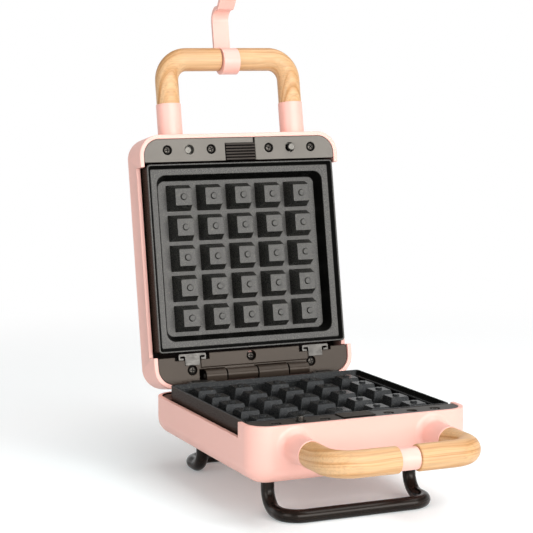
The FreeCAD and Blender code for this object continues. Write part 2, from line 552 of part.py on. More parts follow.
def release_spring(half):
    # A bowed leaf between the button's flange and the front wall
    body = new_body(f"{half}_release_spring", half)
    flange_front = f"({BUTTON_REAR} + dims.button_length + dims.button_play * 2)"
    rise = f"({INNER_FRONT} - {flange_front} - dims.leaf_thick)"
    radius = f"((dims.leaf_chord ^ 2 + {rise} ^ 2) / 2 / {rise})"
    centre = Vector(0, -value(f"{flange_front} + {radius}"), 0)
    outer = value(f"{radius}")
    inner = value(f"{radius} - dims.leaf_thick")
    spread = math.asin(value("dims.leaf_chord") / outer)
    leaf = new_sketch(body, offset=f"{STRIP_SEAT} + dims.slide_play")
    turn = math.pi / 2
    arcs = []
    for size in (outer, inner):
        circle = Part.Circle(centre, Vector(0, 0, 1), size)
        arcs.append(leaf.addGeometry(Part.ArcOfCircle(circle, turn - spread, turn + spread)))
    points = [leaf.getPoint(arc, point) for arc in arcs for point in (1, 2)]
    right = leaf.addGeometry(Part.LineSegment(points[0], points[2]))
    left = leaf.addGeometry(Part.LineSegment(points[1], points[3]))
    for line, point in ((right, 1), (left, 2)):
        leaf.addConstraint(Sketcher.Constraint("Coincident", line, 1, arcs[0], point))
        leaf.addConstraint(Sketcher.Constraint("Coincident", line, 2, arcs[1], point))
        leaf.addConstraint(Sketcher.Constraint("PointOnObject", arcs[0], 3, line))
    leaf.addConstraint(Sketcher.Constraint("Coincident", arcs[0], 3, arcs[1], 3))
    leaf.addConstraint(Sketcher.Constraint("PointOnObject", arcs[0], 3, -2))
    leaf.addConstraint(Sketcher.Constraint("Symmetric", arcs[0], 1, arcs[0], 2, -2))
    middle = f"-({flange_front} + {radius})"
    drive(leaf, Sketcher.Constraint("DistanceY", -1, 1, arcs[0], 3, centre.y), middle)
    drive(leaf, Sketcher.Constraint("Radius", arcs[0], outer), radius)
    drive(leaf, Sketcher.Constraint("Radius", arcs[1], inner), f"{radius} - dims.leaf_thick")
    chord = outer * math.sin(spread)
    drive(leaf, Sketcher.Constraint("DistanceX", -1, 1, arcs[0], 1, chord), "dims.leaf_chord")
    pad(body, leaf, "dims.flange_thick")


def along_x(body, x, y, z, radius, end):
    # A sketch of one circle square to X, and the length to its far end
    sketch = new_sketch(body, "YZ_Plane", x)
    circles(sketch, [(y, z)], radius)
    return sketch, f"({end}) - ({x})"


def lid_hinge_cover():
    # The raised cover round the hinge, with two of the four knuckles and room for the other two
    body = new_body("lid_hinge_cover", "lid")
    side = f"({INNER_HALF} - dims.strip_play)"
    rear = "(dims.shell_rear - dims.shell_wall - dims.strip_play)"
    outline = new_sketch(body, offset="dims.cover_face")
    rounded_rectangle(outline, f"-{side}", side, "-dims.cover_front", rear, "dims.step_round",
                      f"{INNER_CORNER} - dims.strip_play")
    pad(body, outline, "dims.cover_thick")
    trough = "(dims.knuckle_radius + dims.trough_play)"
    reach = f"({KNUCKLE_END} + dims.trough_end)"
    backing = new_sketch(body, offset="dims.cover_face")
    rectangle(backing, f"-{reach} - dims.trough_wall", KNUCKLE_END, f"-{trough} - dims.trough_wall", rear)
    pad(body, backing, f"{trough} + dims.trough_wall - dims.cover_face")
    bridge = new_sketch(body, offset="dims.cover_face")
    bridge_end = f"({GRIP_REACH} - dims.grip_tab / 2 - dims.bridge_gap)"
    rectangle(bridge, f"-{bridge_end}", bridge_end, "-dims.bridge_front", "-dims.bridge_rear")
    pad(body, bridge, "dims.bridge_rise", along=False)
    for start, end in ((f"-{reach}", "-dims.knuckle_inner + dims.knuckle_play"),
                       ("-dims.knuckle_play", "dims.knuckle_inner + dims.knuckle_play")):
        sketch, length = along_x(body, start, "0", "0", trough, end)
        pocket(body, sketch, length)
    for start, end in (("-dims.knuckle_inner + dims.knuckle_play", "-dims.knuckle_play"),
                       ("dims.knuckle_inner + dims.knuckle_play", KNUCKLE_END)):
        sketch, length = along_x(body, start, "0", "0", "dims.knuckle_radius", end)
        pad(body, sketch, length)
    sketch, length = along_x(body, f"-{reach}", "0", "0", "dims.axle_radius + dims.axle_play", reach)
    pocket(body, sketch, length)
    slot = new_sketch(body, offset="dims.cover_face - dims.bridge_rise")
    for centre in (f"-{GRIP_REACH}", GRIP_REACH):
        rectangle(slot, f"{centre} - dims.grip_width / 2 - dims.slot_side",
                  f"{centre} + dims.grip_width / 2 + dims.slot_side", "-dims.bridge_front - dims.strip_play",
                  "-dims.grip_step")
    pocket(body, slot, "dims.bridge_rise + dims.slot_depth")
    recess = new_sketch(body, offset="dims.cover_face - dims.bridge_rise")
    circles(recess, COVER_SCREWS, "dims.recess_radius")
    pocket(body, recess, "dims.bridge_rise + dims.recess_depth")
    drill = new_sketch(body, offset="dims.cover_face + dims.recess_depth")
    circles(drill, COVER_SCREWS, "dims.screw_radius + dims.screw_play")
    pocket(body, drill, "dims.cover_thick + dims.knuckle_radius")


def base_hinge_sill():
    # The low sill behind the base's plate, with the other two knuckles on arms and the clips' blocks
    body = new_body("base_hinge_sill", "base")
    side = f"({INNER_HALF} - dims.strip_play)"
    outline = new_sketch(body, offset=SILL_FACE)
    rounded_rectangle(outline, f"-{side}", side, "-dims.sill_front",
                      "dims.shell_rear - dims.shell_wall - dims.strip_play", "dims.step_round",
                      f"{INNER_CORNER} - dims.strip_play")
    pad(body, outline, "dims.sill_thick")
    # seen from the front these are the first and the third knuckle, so they are turned over here
    for start, end in (("dims.knuckle_inner + dims.knuckle_play", KNUCKLE_END),
                       ("-dims.knuckle_inner + dims.knuckle_play", "-dims.knuckle_play")):
        sketch, length = along_x(body, start, "0", "0", "dims.knuckle_radius", end)
        pad(body, sketch, length)
        arm = new_sketch(body, "YZ_Plane", start)
        rectangle(arm, "-dims.knuckle_radius", "-dims.arm_rear", "0", f"{SILL_FACE} + dims.sill_thick / 2")
        pad(body, arm, f"({end}) - ({start})")
    sketch, length = along_x(body, f"-{KNUCKLE_END}", "0", "0", "dims.axle_radius + dims.axle_play",
                             KNUCKLE_END)
    pocket(body, sketch, length)
    block = new_sketch(body, offset="dims.cover_face")
    for centre in (f"-{GRIP_REACH}", GRIP_REACH):
        rectangle(block, f"{centre} - dims.lug_width / 2", f"{centre} + dims.lug_width / 2",
                  "-dims.cover_front", "-dims.grip_rear")
    pad(body, block, f"{SILL_FACE} + dims.sill_thick / 2 - dims.cover_face")
    drill = new_sketch(body, offset=SILL_FACE)
    circles(drill, SILL_SCREWS, "dims.screw_radius + dims.screw_play")
    pocket(body, drill, "dims.sill_thick")


def hinge_axle():
    body = new_body("hinge_pin", "base")
    sketch, length = along_x(body, f"-{KNUCKLE_END}", "0", "0", "dims.axle_radius", KNUCKLE_END)
    pad(body, sketch, length)


def plate_clips(half):
    # Bright sprung clips that hook over the plate's rear lugs
    body = new_body(f"{half}_plate_clips", half)
    outline = new_sketch(body, offset="dims.cover_face - dims.grip_thick")
    for centre in (f"-{GRIP_REACH}", GRIP_REACH):
        tab = [f"{centre} - dims.grip_tab / 2", f"{centre} + dims.grip_tab / 2"]
        bar = [f"{centre} - dims.grip_width / 2", f"{centre} + dims.grip_width / 2"]
        polygon(outline, [(tab[0], "-dims.grip_rear"), (tab[0], "-dims.grip_step"),
                          (bar[0], "-dims.grip_step"), (bar[0], "-dims.grip_front"),
                          (bar[1], "-dims.grip_front"), (bar[1], "-dims.grip_step"),
                          (tab[1], "-dims.grip_step"), (tab[1], "-dims.grip_rear")])
    pad(body, outline, "dims.grip_thick")


def tray(half):
    # A pressed pan under the plate that carries the heater and throws its heat back
    body = new_body(f"{half}_tray", half)
    side = f"({PLATE_SIDE} - dims.tray_inset)"
    front = f"({PLATE_FRONT} - dims.tray_inset)"
    rear = "(dims.plate_rear + dims.tray_inset)"
    flange = new_sketch(body, offset=TRAY_FACE)
    rounded_rectangle(flange, f"-{side}", side, f"-{front}", f"-{rear}", "dims.tray_corner")
    pad(body, flange, "dims.tray_sheet")
    outer = "dims.tray_flange"
    pan = new_sketch(body, offset=TRAY_FACE)
    rounded_rectangle(pan, f"-{side} + {outer}", f"{side} - {outer}", f"-{front} + {outer}",
                      f"-{rear} - {outer}", "dims.tray_corner + dims.tray_sheet")
    pad(body, pan, f"{PAN_BACK} - {TRAY_FACE}")
    inner = "(dims.tray_flange + dims.tray_sheet)"
    hollow = new_sketch(body, offset=TRAY_FACE)
    rounded_rectangle(hollow, f"-{side} + {inner}", f"{side} - {inner}", f"-{front} + {inner}",
                      f"-{rear} - {inner}", "dims.tray_corner")
    pocket(body, hollow, f"{PAN_FLOOR} - {TRAY_FACE}")
    drill = new_sketch(body, offset=TRAY_FACE)
    circles(drill, TRAY_SCREWS, "dims.screw_radius + dims.screw_play")
    pocket(body, drill, "dims.tray_sheet")
    pins = new_sketch(body, offset=PAN_FLOOR)
    circles(pins, both_sides(TUBE_REACH, f"-{TUBE_REAR} - dims.tube_radius"), "dims.post_hole")
    pocket(body, pins, "dims.tray_sheet")


def heating_element(half):
    # A sheathed tube bent in a U, with its two cold pins turned down through the pan
    body = new_body(f"{half}_heating_element", half)
    section = new_sketch(body, "XZ_Plane", TUBE_REAR)
    circles(section, [(f"-{TUBE_REACH}", TUBE_AXIS)], "dims.tube_radius")
    path = new_sketch(body, offset=TUBE_AXIS)
    bent_path(path, [(f"-{TUBE_REACH}", f"-{TUBE_REAR}"), (f"-{TUBE_REACH}", f"-{TUBE_FRONT}"),
                     (TUBE_REACH, f"-{TUBE_FRONT}"), (TUBE_REACH, f"-{TUBE_REAR}")],
              "dims.tube_bend")
    doc.recompute()
    pipe(body, section, path)
    pins = new_sketch(body, offset=TUBE_AXIS)
    circles(pins, both_sides(TUBE_REACH, f"-{TUBE_REAR} - dims.tube_radius"), "dims.post_pin_radius")
    pad(body, pins, "dims.tube_radius + dims.post_pin_drop")


def thermostat(half):
    body = new_body(f"{half}_thermostat", half)
    centre = [("0", f"-{PLATE_MIDDLE}")]
    flange = new_sketch(body, offset=PAN_BACK)
    circles(flange, centre, "dims.disc_plate")
    pad(body, flange, "dims.disc_plate_thick")
    cup = new_sketch(body, offset=f"{PAN_BACK} + dims.disc_plate_thick")
    circles(cup, centre, "dims.disc_radius")
    pad(body, cup, "dims.disc_height")


def thermal_fuse():
    body = new_body("thermal_fuse", "base")
    sketch, length = along_x(body, "-dims.fuse_length / 2", "-dims.fuse_line",
                             f"{PAN_BACK} + dims.fuse_radius", "dims.fuse_radius", "dims.fuse_length / 2")
    pad(body, sketch, length)


def wood_grip(label, half, sign):
    # Half of a U handle: a leg on the post, a bend, and half of the bar, bored for bolt and dowel
    body = new_body(label, half)
    leg = f"{sign} * {HANDLE_REACH}"
    end = f"{sign} * dims.wood_gap / 2"
    section = new_sketch(body, "XZ_Plane", POST_END)
    circles(section, [(leg, HANDLE_OFFSET)], "dims.wood_radius")
    path = new_sketch(body, offset=HANDLE_OFFSET)
    bent_path(path, [(leg, f"-{POST_END}"), (leg, f"-{BAR_REACH}"), (end, f"-{BAR_REACH}")],
              "dims.wood_bend")
    doc.recompute()
    pipe(body, section, path)
    inner_end = value(end)
    fillet(body, "dims.wood_round", lambda edge: abs(edge.BoundBox.XMin - inner_end) < 0.01
           and abs(edge.BoundBox.XMax - inner_end) < 0.01)
    bolt = new_sketch(body, "XZ_Plane", POST_END)
    circles(bolt, [(leg, HANDLE_OFFSET)], "dims.bolt_radius + dims.dowel_play")
    pocket(body, bolt, "dims.bolt_depth + dims.dowel_play")
    socket = new_sketch(body, "YZ_Plane", end)
    circles(socket, [(f"-{BAR_REACH}", HANDLE_OFFSET)], "dims.dowel_radius + dims.dowel_play")
    pocket(body, socket, "dims.dowel_depth + dims.dowel_play", along=sign > 0)


def handle_core(label, half):
    # The dowel that joins the two wood halves across the gap
    body = new_body(label, half)
    reach = "(dims.wood_gap / 2 + dims.dowel_depth)"
    sketch, length = along_x(body, f"-{reach}", f"-{BAR_REACH}", HANDLE_OFFSET, "dims.dowel_radius", reach)
    pad(body, sketch, length)


def handle_band():
    body = new_body("lower_handle_band", "base")
    reach = "(dims.wood_gap / 2 - dims.band_play)"
    sketch, length = along_x(body, f"-{reach}", f"-{BAR_REACH}", HANDLE_OFFSET, "dims.band_radius", reach)
    pad(body, sketch, length)
    sketch, length = along_x(body, f"-{reach}", f"-{BAR_REACH}", HANDLE_OFFSET,
                             "dims.dowel_radius + dims.dowel_play", reach)
    pocket(body, sketch, length)


def handle_bolts(label, half):
    body = new_body(label, half)
    centres = both_sides(HANDLE_REACH, HANDLE_OFFSET)
    head = new_sketch(body, "XZ_Plane", INNER_FRONT)
    circles(head, centres, "dims.bolt_head")
    pad(body, head, "dims.bolt_head_height", along=False)
    shank = new_sketch(body, "XZ_Plane", INNER_FRONT)
    circles(shank, centres, "dims.bolt_radius")
    pad(body, shank, f"{POST_END} + dims.bolt_depth - {INNER_FRONT}")


def handle_clip():
    # A ring on the upper dowel with a lever, a hook for the lower band, and a flared thumb tab.
    # It stands up from the handle. Rise runs away from the lid, set runs to the handle's back.
    body = new_body("handle_clip", "lid")
    width = "(dims.wood_gap - 2 * dims.ring_side)"
    start = f"-{width} / 2"
    bar_y = f"-{BAR_REACH}"
    bar_z = HANDLE_OFFSET
    span = f"(2 * {HANDLE_OFFSET})"

    def at(rise, offset="0"):
        return f"{bar_y} - ({rise})", f"{bar_z} + ({offset})"

    ring = new_sketch(body, "YZ_Plane", start)
    circles(ring, [at("-dims.ring_sink", "-dims.ring_lead")], "dims.ring_radius")
    pad(body, ring, width)
    outer = f"({HOOK_RADIUS} + dims.lever_thick)"
    lever = new_sketch(body, "YZ_Plane", start)
    polygon(lever, [at("-dims.ring_sink - dims.lever_thick * 2", "dims.dowel_radius"),
                    at("dims.lever_thick", outer), at(span, outer), at(span, HOOK_RADIUS),
                    at("dims.lever_thick", HOOK_RADIUS),
                    at("dims.lever_thick", "dims.dowel_radius")])
    pad(body, lever, width)
    # the hook: a round block over the lower band's place, cut away in front of the tab and inside
    hook = new_sketch(body, "YZ_Plane", start)
    circles(hook, [at(span)], outer)
    pad(body, hook, width)
    front = f"-{outer} * 2"
    lip = f"-sin(dims.hook_wrap) * {outer}"
    clear = new_sketch(body, "YZ_Plane", start)
    polygon(clear, [at(f"{span} + {outer} * 2", lip), at(f"{span} + {outer} * 2", front),
                    at(f"{span} - {outer} * 1.2", front), at(f"{span} - {outer} * 1.2", HOOK_RADIUS),
                    at(span, HOOK_RADIUS), at(span, lip)])
    pocket(body, clear, width)
    inside = new_sketch(body, "YZ_Plane", start)
    circles(inside, [at(span)], HOOK_RADIUS)
    pocket(body, inside, width)
    # the tab leaves the lip level with the hook's top and leans forward as it rises
    tab = new_sketch(body, "YZ_Plane", start)
    root = f"({span} + cos(dims.hook_wrap) * {HOOK_RADIUS})"
    crown = f"({span} + cos(dims.hook_wrap) * {outer})"
    inner_lip = f"-sin(dims.hook_wrap) * {HOOK_RADIUS}"
    polygon(tab, [at(root, inner_lip), at(root, f"{inner_lip} - dims.tab_lip"),
                  at(f"{root} + dims.tab_rise", f"{inner_lip} - dims.tab_lip - dims.tab_run"),
                  at(f"{root} + dims.tab_rise + dims.lever_thick * 0.7",
                     f"{inner_lip} - dims.tab_lip - dims.tab_run + dims.lever_thick * 0.7"),
                  at(crown, f"{lip} - dims.tab_lip * 0.4"), at(crown, f"{lip} + dims.clip_round"),
                  at(f"{crown} - dims.lever_thick / 2", f"{lip} + dims.lever_thick")])
    pad(body, tab, width)
    bore, length = along_x(body, start, bar_y, bar_z, "dims.dowel_radius + dims.dowel_play", f"{width} / 2")
    pocket(body, bore, length)


def foot(label, leg, bar):
    # A rod bent twice: two legs down from the shell, two runs along the table and a crossbar
    body = new_body(label, "base")
    section = new_sketch(body, offset=ROD_TOP)
    circles(section, [(FOOT_REACH, f"-{leg}")], "dims.rod_radius")
    middle = f"({leg} + {bar}) / 2"
    down = new_sketch(body, "YZ_Plane", FOOT_REACH)
    bent_path(down, [(f"-{leg}", ROD_TOP), (f"-{leg}", ROD_AXIS), (f"-({middle})", ROD_AXIS)],
              "dims.foot_bend")
    doc.recompute()
    first = pipe(body, section, down)
    section = new_sketch(body, "XZ_Plane", middle)
    circles(section, [(f"-{FOOT_REACH}", ROD_AXIS)], "dims.rod_radius")
    across = new_sketch(body, offset=ROD_AXIS)
    bent_path(across, [(f"-{FOOT_REACH}", f"-({middle})"), (f"-{FOOT_REACH}", f"-({bar})"),
                       (FOOT_REACH, f"-({bar})"), (FOOT_REACH, f"-({middle})")], "dims.foot_bend")
    doc.recompute()
    pipe(body, section, across)
    mirror_in_x(body, [first])
    # the small flat that the rod stands on
    flat = new_sketch(body, offset="dims.floor_drop")
    reach = f"2 * {FOOT_REACH}"
    rectangle(flat, f"-{reach}", reach, f"-{leg} - {reach}", f"-{leg} + {reach}")
    pocket(body, flat, "dims.rod_radius")


def cord_gland():
    body = new_body("cord_gland", "base")
    centre = [("0", GLAND_LINE)]
    stem = new_sketch(body, "XZ_Plane", "-dims.shell_rear")
    circles(stem, centre, "dims.gland_radius")
    pad(body, stem, "dims.shell_wall")
    for offset, length, along in (("-dims.shell_rear", "dims.gland_flange_thick", False),
                                  ("-dims.shell_rear + dims.shell_wall", "dims.gland_nut", True)):
        collar = new_sketch(body, "XZ_Plane", offset)
        circles(collar, centre, "dims.gland_flange")
        pad(body, collar, length, along=along)
    bore = new_sketch(body, "XZ_Plane", "-dims.shell_rear - dims.gland_flange_thick")
    circles(bore, centre, "dims.gland_bore")
    pocket(body, bore, "dims.gland_flange_thick + dims.shell_wall + dims.gland_nut")


def terminal_block():
    body = new_body("terminal_block", "base")
    outline = new_sketch(body, offset=f"{INNER_FLOOR} - dims.block_height")
    rounded_rectangle(outline, "-dims.block_width / 2", "dims.block_width / 2",
                      "-dims.block_rear - dims.block_length", "-dims.block_rear", "dims.step_round")
    pad(body, outline, "dims.block_height")


def indicator_lenses():
    body = new_body("indicator_lenses", "lid")
    flange = new_sketch(body, offset=f"{INNER_FLOOR} - dims.lens_flange_thick")
    circles(flange, LENSES, "dims.lens_flange")
    pad(body, flange, "dims.lens_flange_thick")
    stem = new_sketch(body, offset=INNER_FLOOR)
    circles(stem, LENSES, "dims.lens_radius")
    pad(body, stem, "dims.shell_wall + dims.lens_proud")


for half in ("base", "lid"):
    shell(half)
    plate(half)
    front_strip(half)
    screws(f"{half}_strip_screws", half, STRIP_SCREWS, "(dims.strip_face + dims.recess_depth)")
    strip_pins(half)
    release_button(half)
    release_spring(half)
    plate_clips(half)
    tray(half)
    screws(f"{half}_tray_screws", half, TRAY_SCREWS, TRAY_FACE)
    heating_element(half)
    thermostat(half)
lid_hinge_cover()
screws("lid_cover_screws", "lid", COVER_SCREWS, "(dims.cover_face + dims.recess_depth)")
base_hinge_sill()
screws("base_sill_screws", "base", SILL_SCREWS, SILL_FACE)
hinge_axle()
for level, half in (("upper", "lid"), ("lower", "base")):
    left, right = (-1, 1) if half == "lid" else (1, -1)
    wood_grip(f"{level}_handle_left", half, left)
    wood_grip(f"{level}_handle_right", half, right)
    handle_core(f"{level}_handle_dowel", half)
    handle_bolts(f"{level}_handle_bolts", half)
handle_band()
handle_clip()
foot("front_foot", FOOT_FRONT, f"({FOOT_FRONT} + dims.foot_run)")
foot("rear_foot", "dims.foot_rear", "(dims.foot_rear - dims.foot_run)")
screws("foot_screws", "base", FOOT_LEGS, SOCKET_TOP, "dims.socket_height - dims.rod_seat")
cord_gland()
terminal_block()
thermal_fuse()
indicator_lenses()
doc.recompute()

# The origin is under the middle of the open object
spans = [node.Shape.optimalBoundingBox(False, False) for node in nodes]
middle = (min(span.YMin for span in spans) + max(span.YMax for span in spans)) / 2
dims.set(dims.getCellFromAlias("origin_shift"), str(round(-middle, 3)))
doc.recompute()

faults = [item.Label for item in doc.Objects if {"Invalid", "Error"} & set(item.State)]
faults += [node.Label for node in nodes if node.Shape.isNull() or not node.Shape.isValid()]
for item in doc.Objects:
    if item.TypeId == "PartDesign::Pocket" and item.Shape.Volume >= item.BaseFeature.Shape.Volume - 1e-3:
        faults.append(f"{item.getParent().Label}: {item.Label} cuts nothing")
if faults:
    raise RuntimeError(f"faulty objects: {faults}")

os.makedirs("parts", exist_ok=True)
for node in nodes:
    node.Shape.exportStep(os.path.join("parts", f"{node.Label}.step"))
print(f"{len(nodes)} sub-parts, lid open {value('dims.open_angle')} degrees")
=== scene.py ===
import bmesh
import bpy
import json
import math
from mathutils import Matrix, Vector

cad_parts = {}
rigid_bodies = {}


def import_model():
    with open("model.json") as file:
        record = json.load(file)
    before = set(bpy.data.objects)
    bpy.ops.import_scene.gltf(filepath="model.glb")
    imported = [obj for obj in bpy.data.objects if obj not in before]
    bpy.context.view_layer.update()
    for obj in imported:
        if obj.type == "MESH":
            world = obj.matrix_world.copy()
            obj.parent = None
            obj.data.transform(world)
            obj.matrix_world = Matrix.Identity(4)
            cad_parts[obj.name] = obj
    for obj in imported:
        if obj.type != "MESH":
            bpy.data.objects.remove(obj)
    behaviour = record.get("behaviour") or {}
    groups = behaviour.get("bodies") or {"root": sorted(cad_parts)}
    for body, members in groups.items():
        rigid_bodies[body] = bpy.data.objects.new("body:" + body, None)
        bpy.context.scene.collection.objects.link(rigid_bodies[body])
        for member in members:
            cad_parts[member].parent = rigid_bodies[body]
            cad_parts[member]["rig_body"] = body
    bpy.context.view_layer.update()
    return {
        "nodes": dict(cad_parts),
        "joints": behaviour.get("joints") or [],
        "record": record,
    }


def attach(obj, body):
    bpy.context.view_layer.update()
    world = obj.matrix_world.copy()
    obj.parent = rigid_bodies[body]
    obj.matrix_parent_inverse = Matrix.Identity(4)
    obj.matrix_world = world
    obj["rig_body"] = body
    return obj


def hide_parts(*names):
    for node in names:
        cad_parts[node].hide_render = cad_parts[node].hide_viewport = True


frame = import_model()
cadNodes = frame["nodes"]
slotOf = {row["node"]: row["material_slot"] for row in frame["record"]["subparts"]}
hinge = next(joint for joint in frame["joints"] if joint["name"] == "lid_hinge")
mm = 0.001
print("frame loaded:", len(cadNodes), "nodes")


# each half is drawn closed, in mm from the hinge: x across, -y to the front, z away from the other half
def placeOf(half):
    if half == "lid":
        turn = Matrix.Rotation(-math.radians(hinge["range_deg"][1]), 4, "X")
    else:
        turn = Matrix.Rotation(math.pi, 4, "Y")
    return Matrix.Translation(hinge["pos_m"]) @ turn @ Matrix.Scale(mm, 4)


places = {half: placeOf(half) for half in ("lid", "base")}


def linkUp(name, data):
    made = bpy.data.objects.new(name, data)
    bpy.context.scene.collection.objects.link(made)
    return made


# camera, set from the straight edges of the two halves
cameraSet = {
    "place": (-0.4240, -0.9193, 0.2572),
    "right": (0.91736, -0.39805, -0.00381),
    "up": (0.05129, 0.10870, 0.99276),
    "lens": 115.0, "sensor": 36.0, "near": 0.05, "far": 60.0,
}
camera = linkUp("camera", bpy.data.cameras.new("camera"))
camera.data.lens = cameraSet["lens"]
camera.data.sensor_width = cameraSet["sensor"]
camera.data.sensor_fit = "HORIZONTAL"
camera.data.clip_start = cameraSet["near"]
camera.data.clip_end = cameraSet["far"]
sideways = Vector(cameraSet["right"]).normalized()
backwards = sideways.cross(Vector(cameraSet["up"])).normalized()
upwards = backwards.cross(sideways)
camera.matrix_world = Matrix.Translation(cameraSet["place"]) @ Matrix(
    (sideways, upwards, backwards)).transposed().to_4x4()
bpy.context.scene.camera = camera
print("camera set")


# node helpers
noiseSpan = (0.3, 0.7)  # most of a noise texture lies in this span
noiseMiddle = (0.5, 0.5, 0.5)
plainWhite = (1.0, 1.0, 1.0, 1.0)
bumpHeight = {"grain": 0.00006, "peel": 0.0003, "coat": 0.00012, "brushed": 0.00004,
              "wood": 0.0001, "lens": 0.0001}  # in m


def blankMaterial(name):
    material = bpy.data.materials.new(name)
    material.use_nodes = True
    tree = material.node_tree
    tree.nodes.clear()
    return material, tree, tree.nodes.new("ShaderNodeOutputMaterial")


def newFinish(name):
    material, tree, output = blankMaterial(name)
    shader = tree.nodes.new("ShaderNodeBsdfPrincipled")
    tree.links.new(shader.outputs["BSDF"], output.inputs["Surface"])
    return material, tree, shader


# an input takes a link from a socket, or a plain value
def setInputs(tree, node, inputs):
    for key, source in inputs.items():
        if isinstance(source, bpy.types.NodeSocket):
            tree.links.new(source, node.inputs[key])
        else:
            node.inputs[key].default_value = source


def addNode(tree, kind, inputs=None, **settings):
    node = tree.nodes.new(kind)
    for key, setting in settings.items():
        setattr(node, key, setting)
    setInputs(tree, node, inputs or {})
    return node


def linear(hexText):
    levels = [int(hexText[i:i + 2], 16) / 255 for i in (0, 2, 4)]
    curved = [level / 12.92 if level <= 0.04045 else ((level + 0.055) / 1.055) ** 2.4 for level in levels]
    return (*curved, 1.0)


def coordsOf(tree, scale=(1.0, 1.0, 1.0)):
    coords = addNode(tree, "ShaderNodeTexCoord").outputs["Object"]
    return addNode(tree, "ShaderNodeMapping", {"Vector": coords, "Scale": scale}).outputs["Vector"]


def noiseOf(tree, vector, scale, detail, roughness=0.55):
    node = addNode(tree, "ShaderNodeTexNoise", {
        "Vector": vector, "Scale": scale, "Detail": detail, "Roughness": roughness})
    return node.outputs["Fac"]


def rampOf(tree, factor, stops):
    node = addNode(tree, "ShaderNodeValToRGB", {"Fac": factor})
    while len(node.color_ramp.elements) < len(stops):
        node.color_ramp.elements.new(0.5)
    for element, (spot, colour) in zip(node.color_ramp.elements, stops):
        element.position = spot
        element.color = colour
    return node.outputs["Color"]


def greyRamp(tree, factor, stops):
    return rampOf(tree, factor, [(spot, (level, level, level, 1.0)) for spot, level in stops])


def toneOf(tree, factor, look, span=noiseSpan):
    return rampOf(tree, factor, list(zip(span, (linear(look["shade"]), linear(look["light"])))))


def rangeOf(tree, factor, low, high, span=(0.0, 1.0)):
    node = addNode(tree, "ShaderNodeMapRange", {
        "Value": factor, "From Min": span[0], "From Max": span[1], "To Min": low, "To Max": high})
    return node.outputs["Result"]


def mixOf(tree, factor, first, second, blend="MIX"):
    node = addNode(tree, "ShaderNodeMix", {"Factor": factor, "A": first, "B": second},
                   data_type="RGBA", blend_type=blend)
    return node.outputs["Result"]


def markOf(tree, layer):
    return addNode(tree, "ShaderNodeAttribute", attribute_name=layer).outputs["Fac"]


def bumpOf(tree, height, strength, kind, normal=None):
    inputs = {"Height": height, "Strength": strength, "Distance": bumpHeight[kind]}
    if normal is not None:
        inputs["Normal"] = normal
    return addNode(tree, "ShaderNodeBump", inputs).outputs["Normal"]


# moulded plastics, with painted shade mixed in where a piece's sunk mark is set
def mouldedPlastic(name, look, sheen=1.0):
    material, tree, shader = newFinish(name)
    coords = coordsOf(tree)
    cloud = noiseOf(tree, coords, look["cloudScale"], detail=3.0)
    grain = noiseOf(tree, coords, look["grainScale"], detail=2.0)
    peel = noiseOf(tree, coords, look["peelScale"], detail=1.0)
    fine = bumpOf(tree, grain, look["grainBump"], "grain")
    setInputs(tree, shader, {
        "Base Color": mixOf(tree, markOf(tree, "sunk"), toneOf(tree, cloud, look), linear(look["sunk"])),
        "Roughness": rangeOf(tree, grain, look["roughLow"], look["roughHigh"]),
        "Normal": bumpOf(tree, peel, look["peelBump"], "peel", fine),
        "Specular IOR Level": look["specular"] * sheen,
        "Specular Tint": look.get("tint", plainWhite),
    })
    return material


# the sunk colour of each look is painted shade, mixed in where the piece's sunk mark is set
pinkLook = {
    "light": "ECB5A8", "shade": "E9B1A4", "sunk": "2A1E1B",
    "cloudScale": 18.0, "grainScale": 2600.0, "peelScale": 160.0,
    "roughLow": 0.34, "roughHigh": 0.46, "grainBump": 0.05, "peelBump": 0.02, "specular": 0.6,
}
pinkPlastic = mouldedPlastic("pinkPlastic", pinkLook)

taupeLook = {
    "light": "726D66", "shade": "6C6760", "sunk": "0C0B0A",
    "cloudScale": 40.0, "grainScale": 3200.0, "peelScale": 220.0,
    "roughLow": 0.34, "roughHigh": 0.48, "grainBump": 0.16, "peelBump": 0.02, "specular": 0.25,
}
taupePlastic = mouldedPlastic("taupePlastic", taupeLook)
shadedTaupeLook = {**taupeLook, "light": "3E3A36", "shade": "393531", "specular": 0.14}  # the lower strip, the same plastic as the upper one, darker with less sheen: painted shade
dimTaupe = mouldedPlastic("dimTaupe", shadedTaupeLook)

hingeLook = {
    "light": "352C25", "shade": "2F2721", "sunk": "0A0807",
    "cloudScale": 40.0, "grainScale": 3200.0, "peelScale": 220.0,
    "roughLow": 0.24, "roughHigh": 0.36, "grainBump": 0.16, "peelBump": 0.02, "specular": 0.24,
    "tint": (1.0, 0.90, 0.80, 1.0),
}
hingePlastic = mouldedPlastic("hingePlastic", hingeLook)

buttonLook = {
    "light": "3B3530", "shade": "352F2A", "sunk": "0A0807",
    "cloudScale": 60.0, "grainScale": 3200.0, "peelScale": 220.0,
    "roughLow": 0.38, "roughHigh": 0.54, "grainBump": 0.16, "peelBump": 0.02, "specular": 0.12,
}
buttonPlastic = mouldedPlastic("buttonPlastic", buttonLook)

coreLook = {
    "light": "3A3836", "shade": "302E2C", "sunk": "141312",
    "cloudScale": 60.0, "grainScale": 2600.0, "peelScale": 200.0,
    "roughLow": 0.42, "roughHigh": 0.58, "grainBump": 0.15, "peelBump": 0.03, "specular": 0.4,
}
corePlastic = mouldedPlastic("corePlastic", coreLook)

rubberLook = {
    "light": "2A2826", "shade": "211F1E", "sunk": "100F0E",
    "cloudScale": 50.0, "grainScale": 2200.0, "peelScale": 300.0,
    "roughLow": 0.58, "roughHigh": 0.74, "grainBump": 0.22, "peelBump": 0.04, "specular": 0.3,
}
softRubber = mouldedPlastic("softRubber", rubberLook)

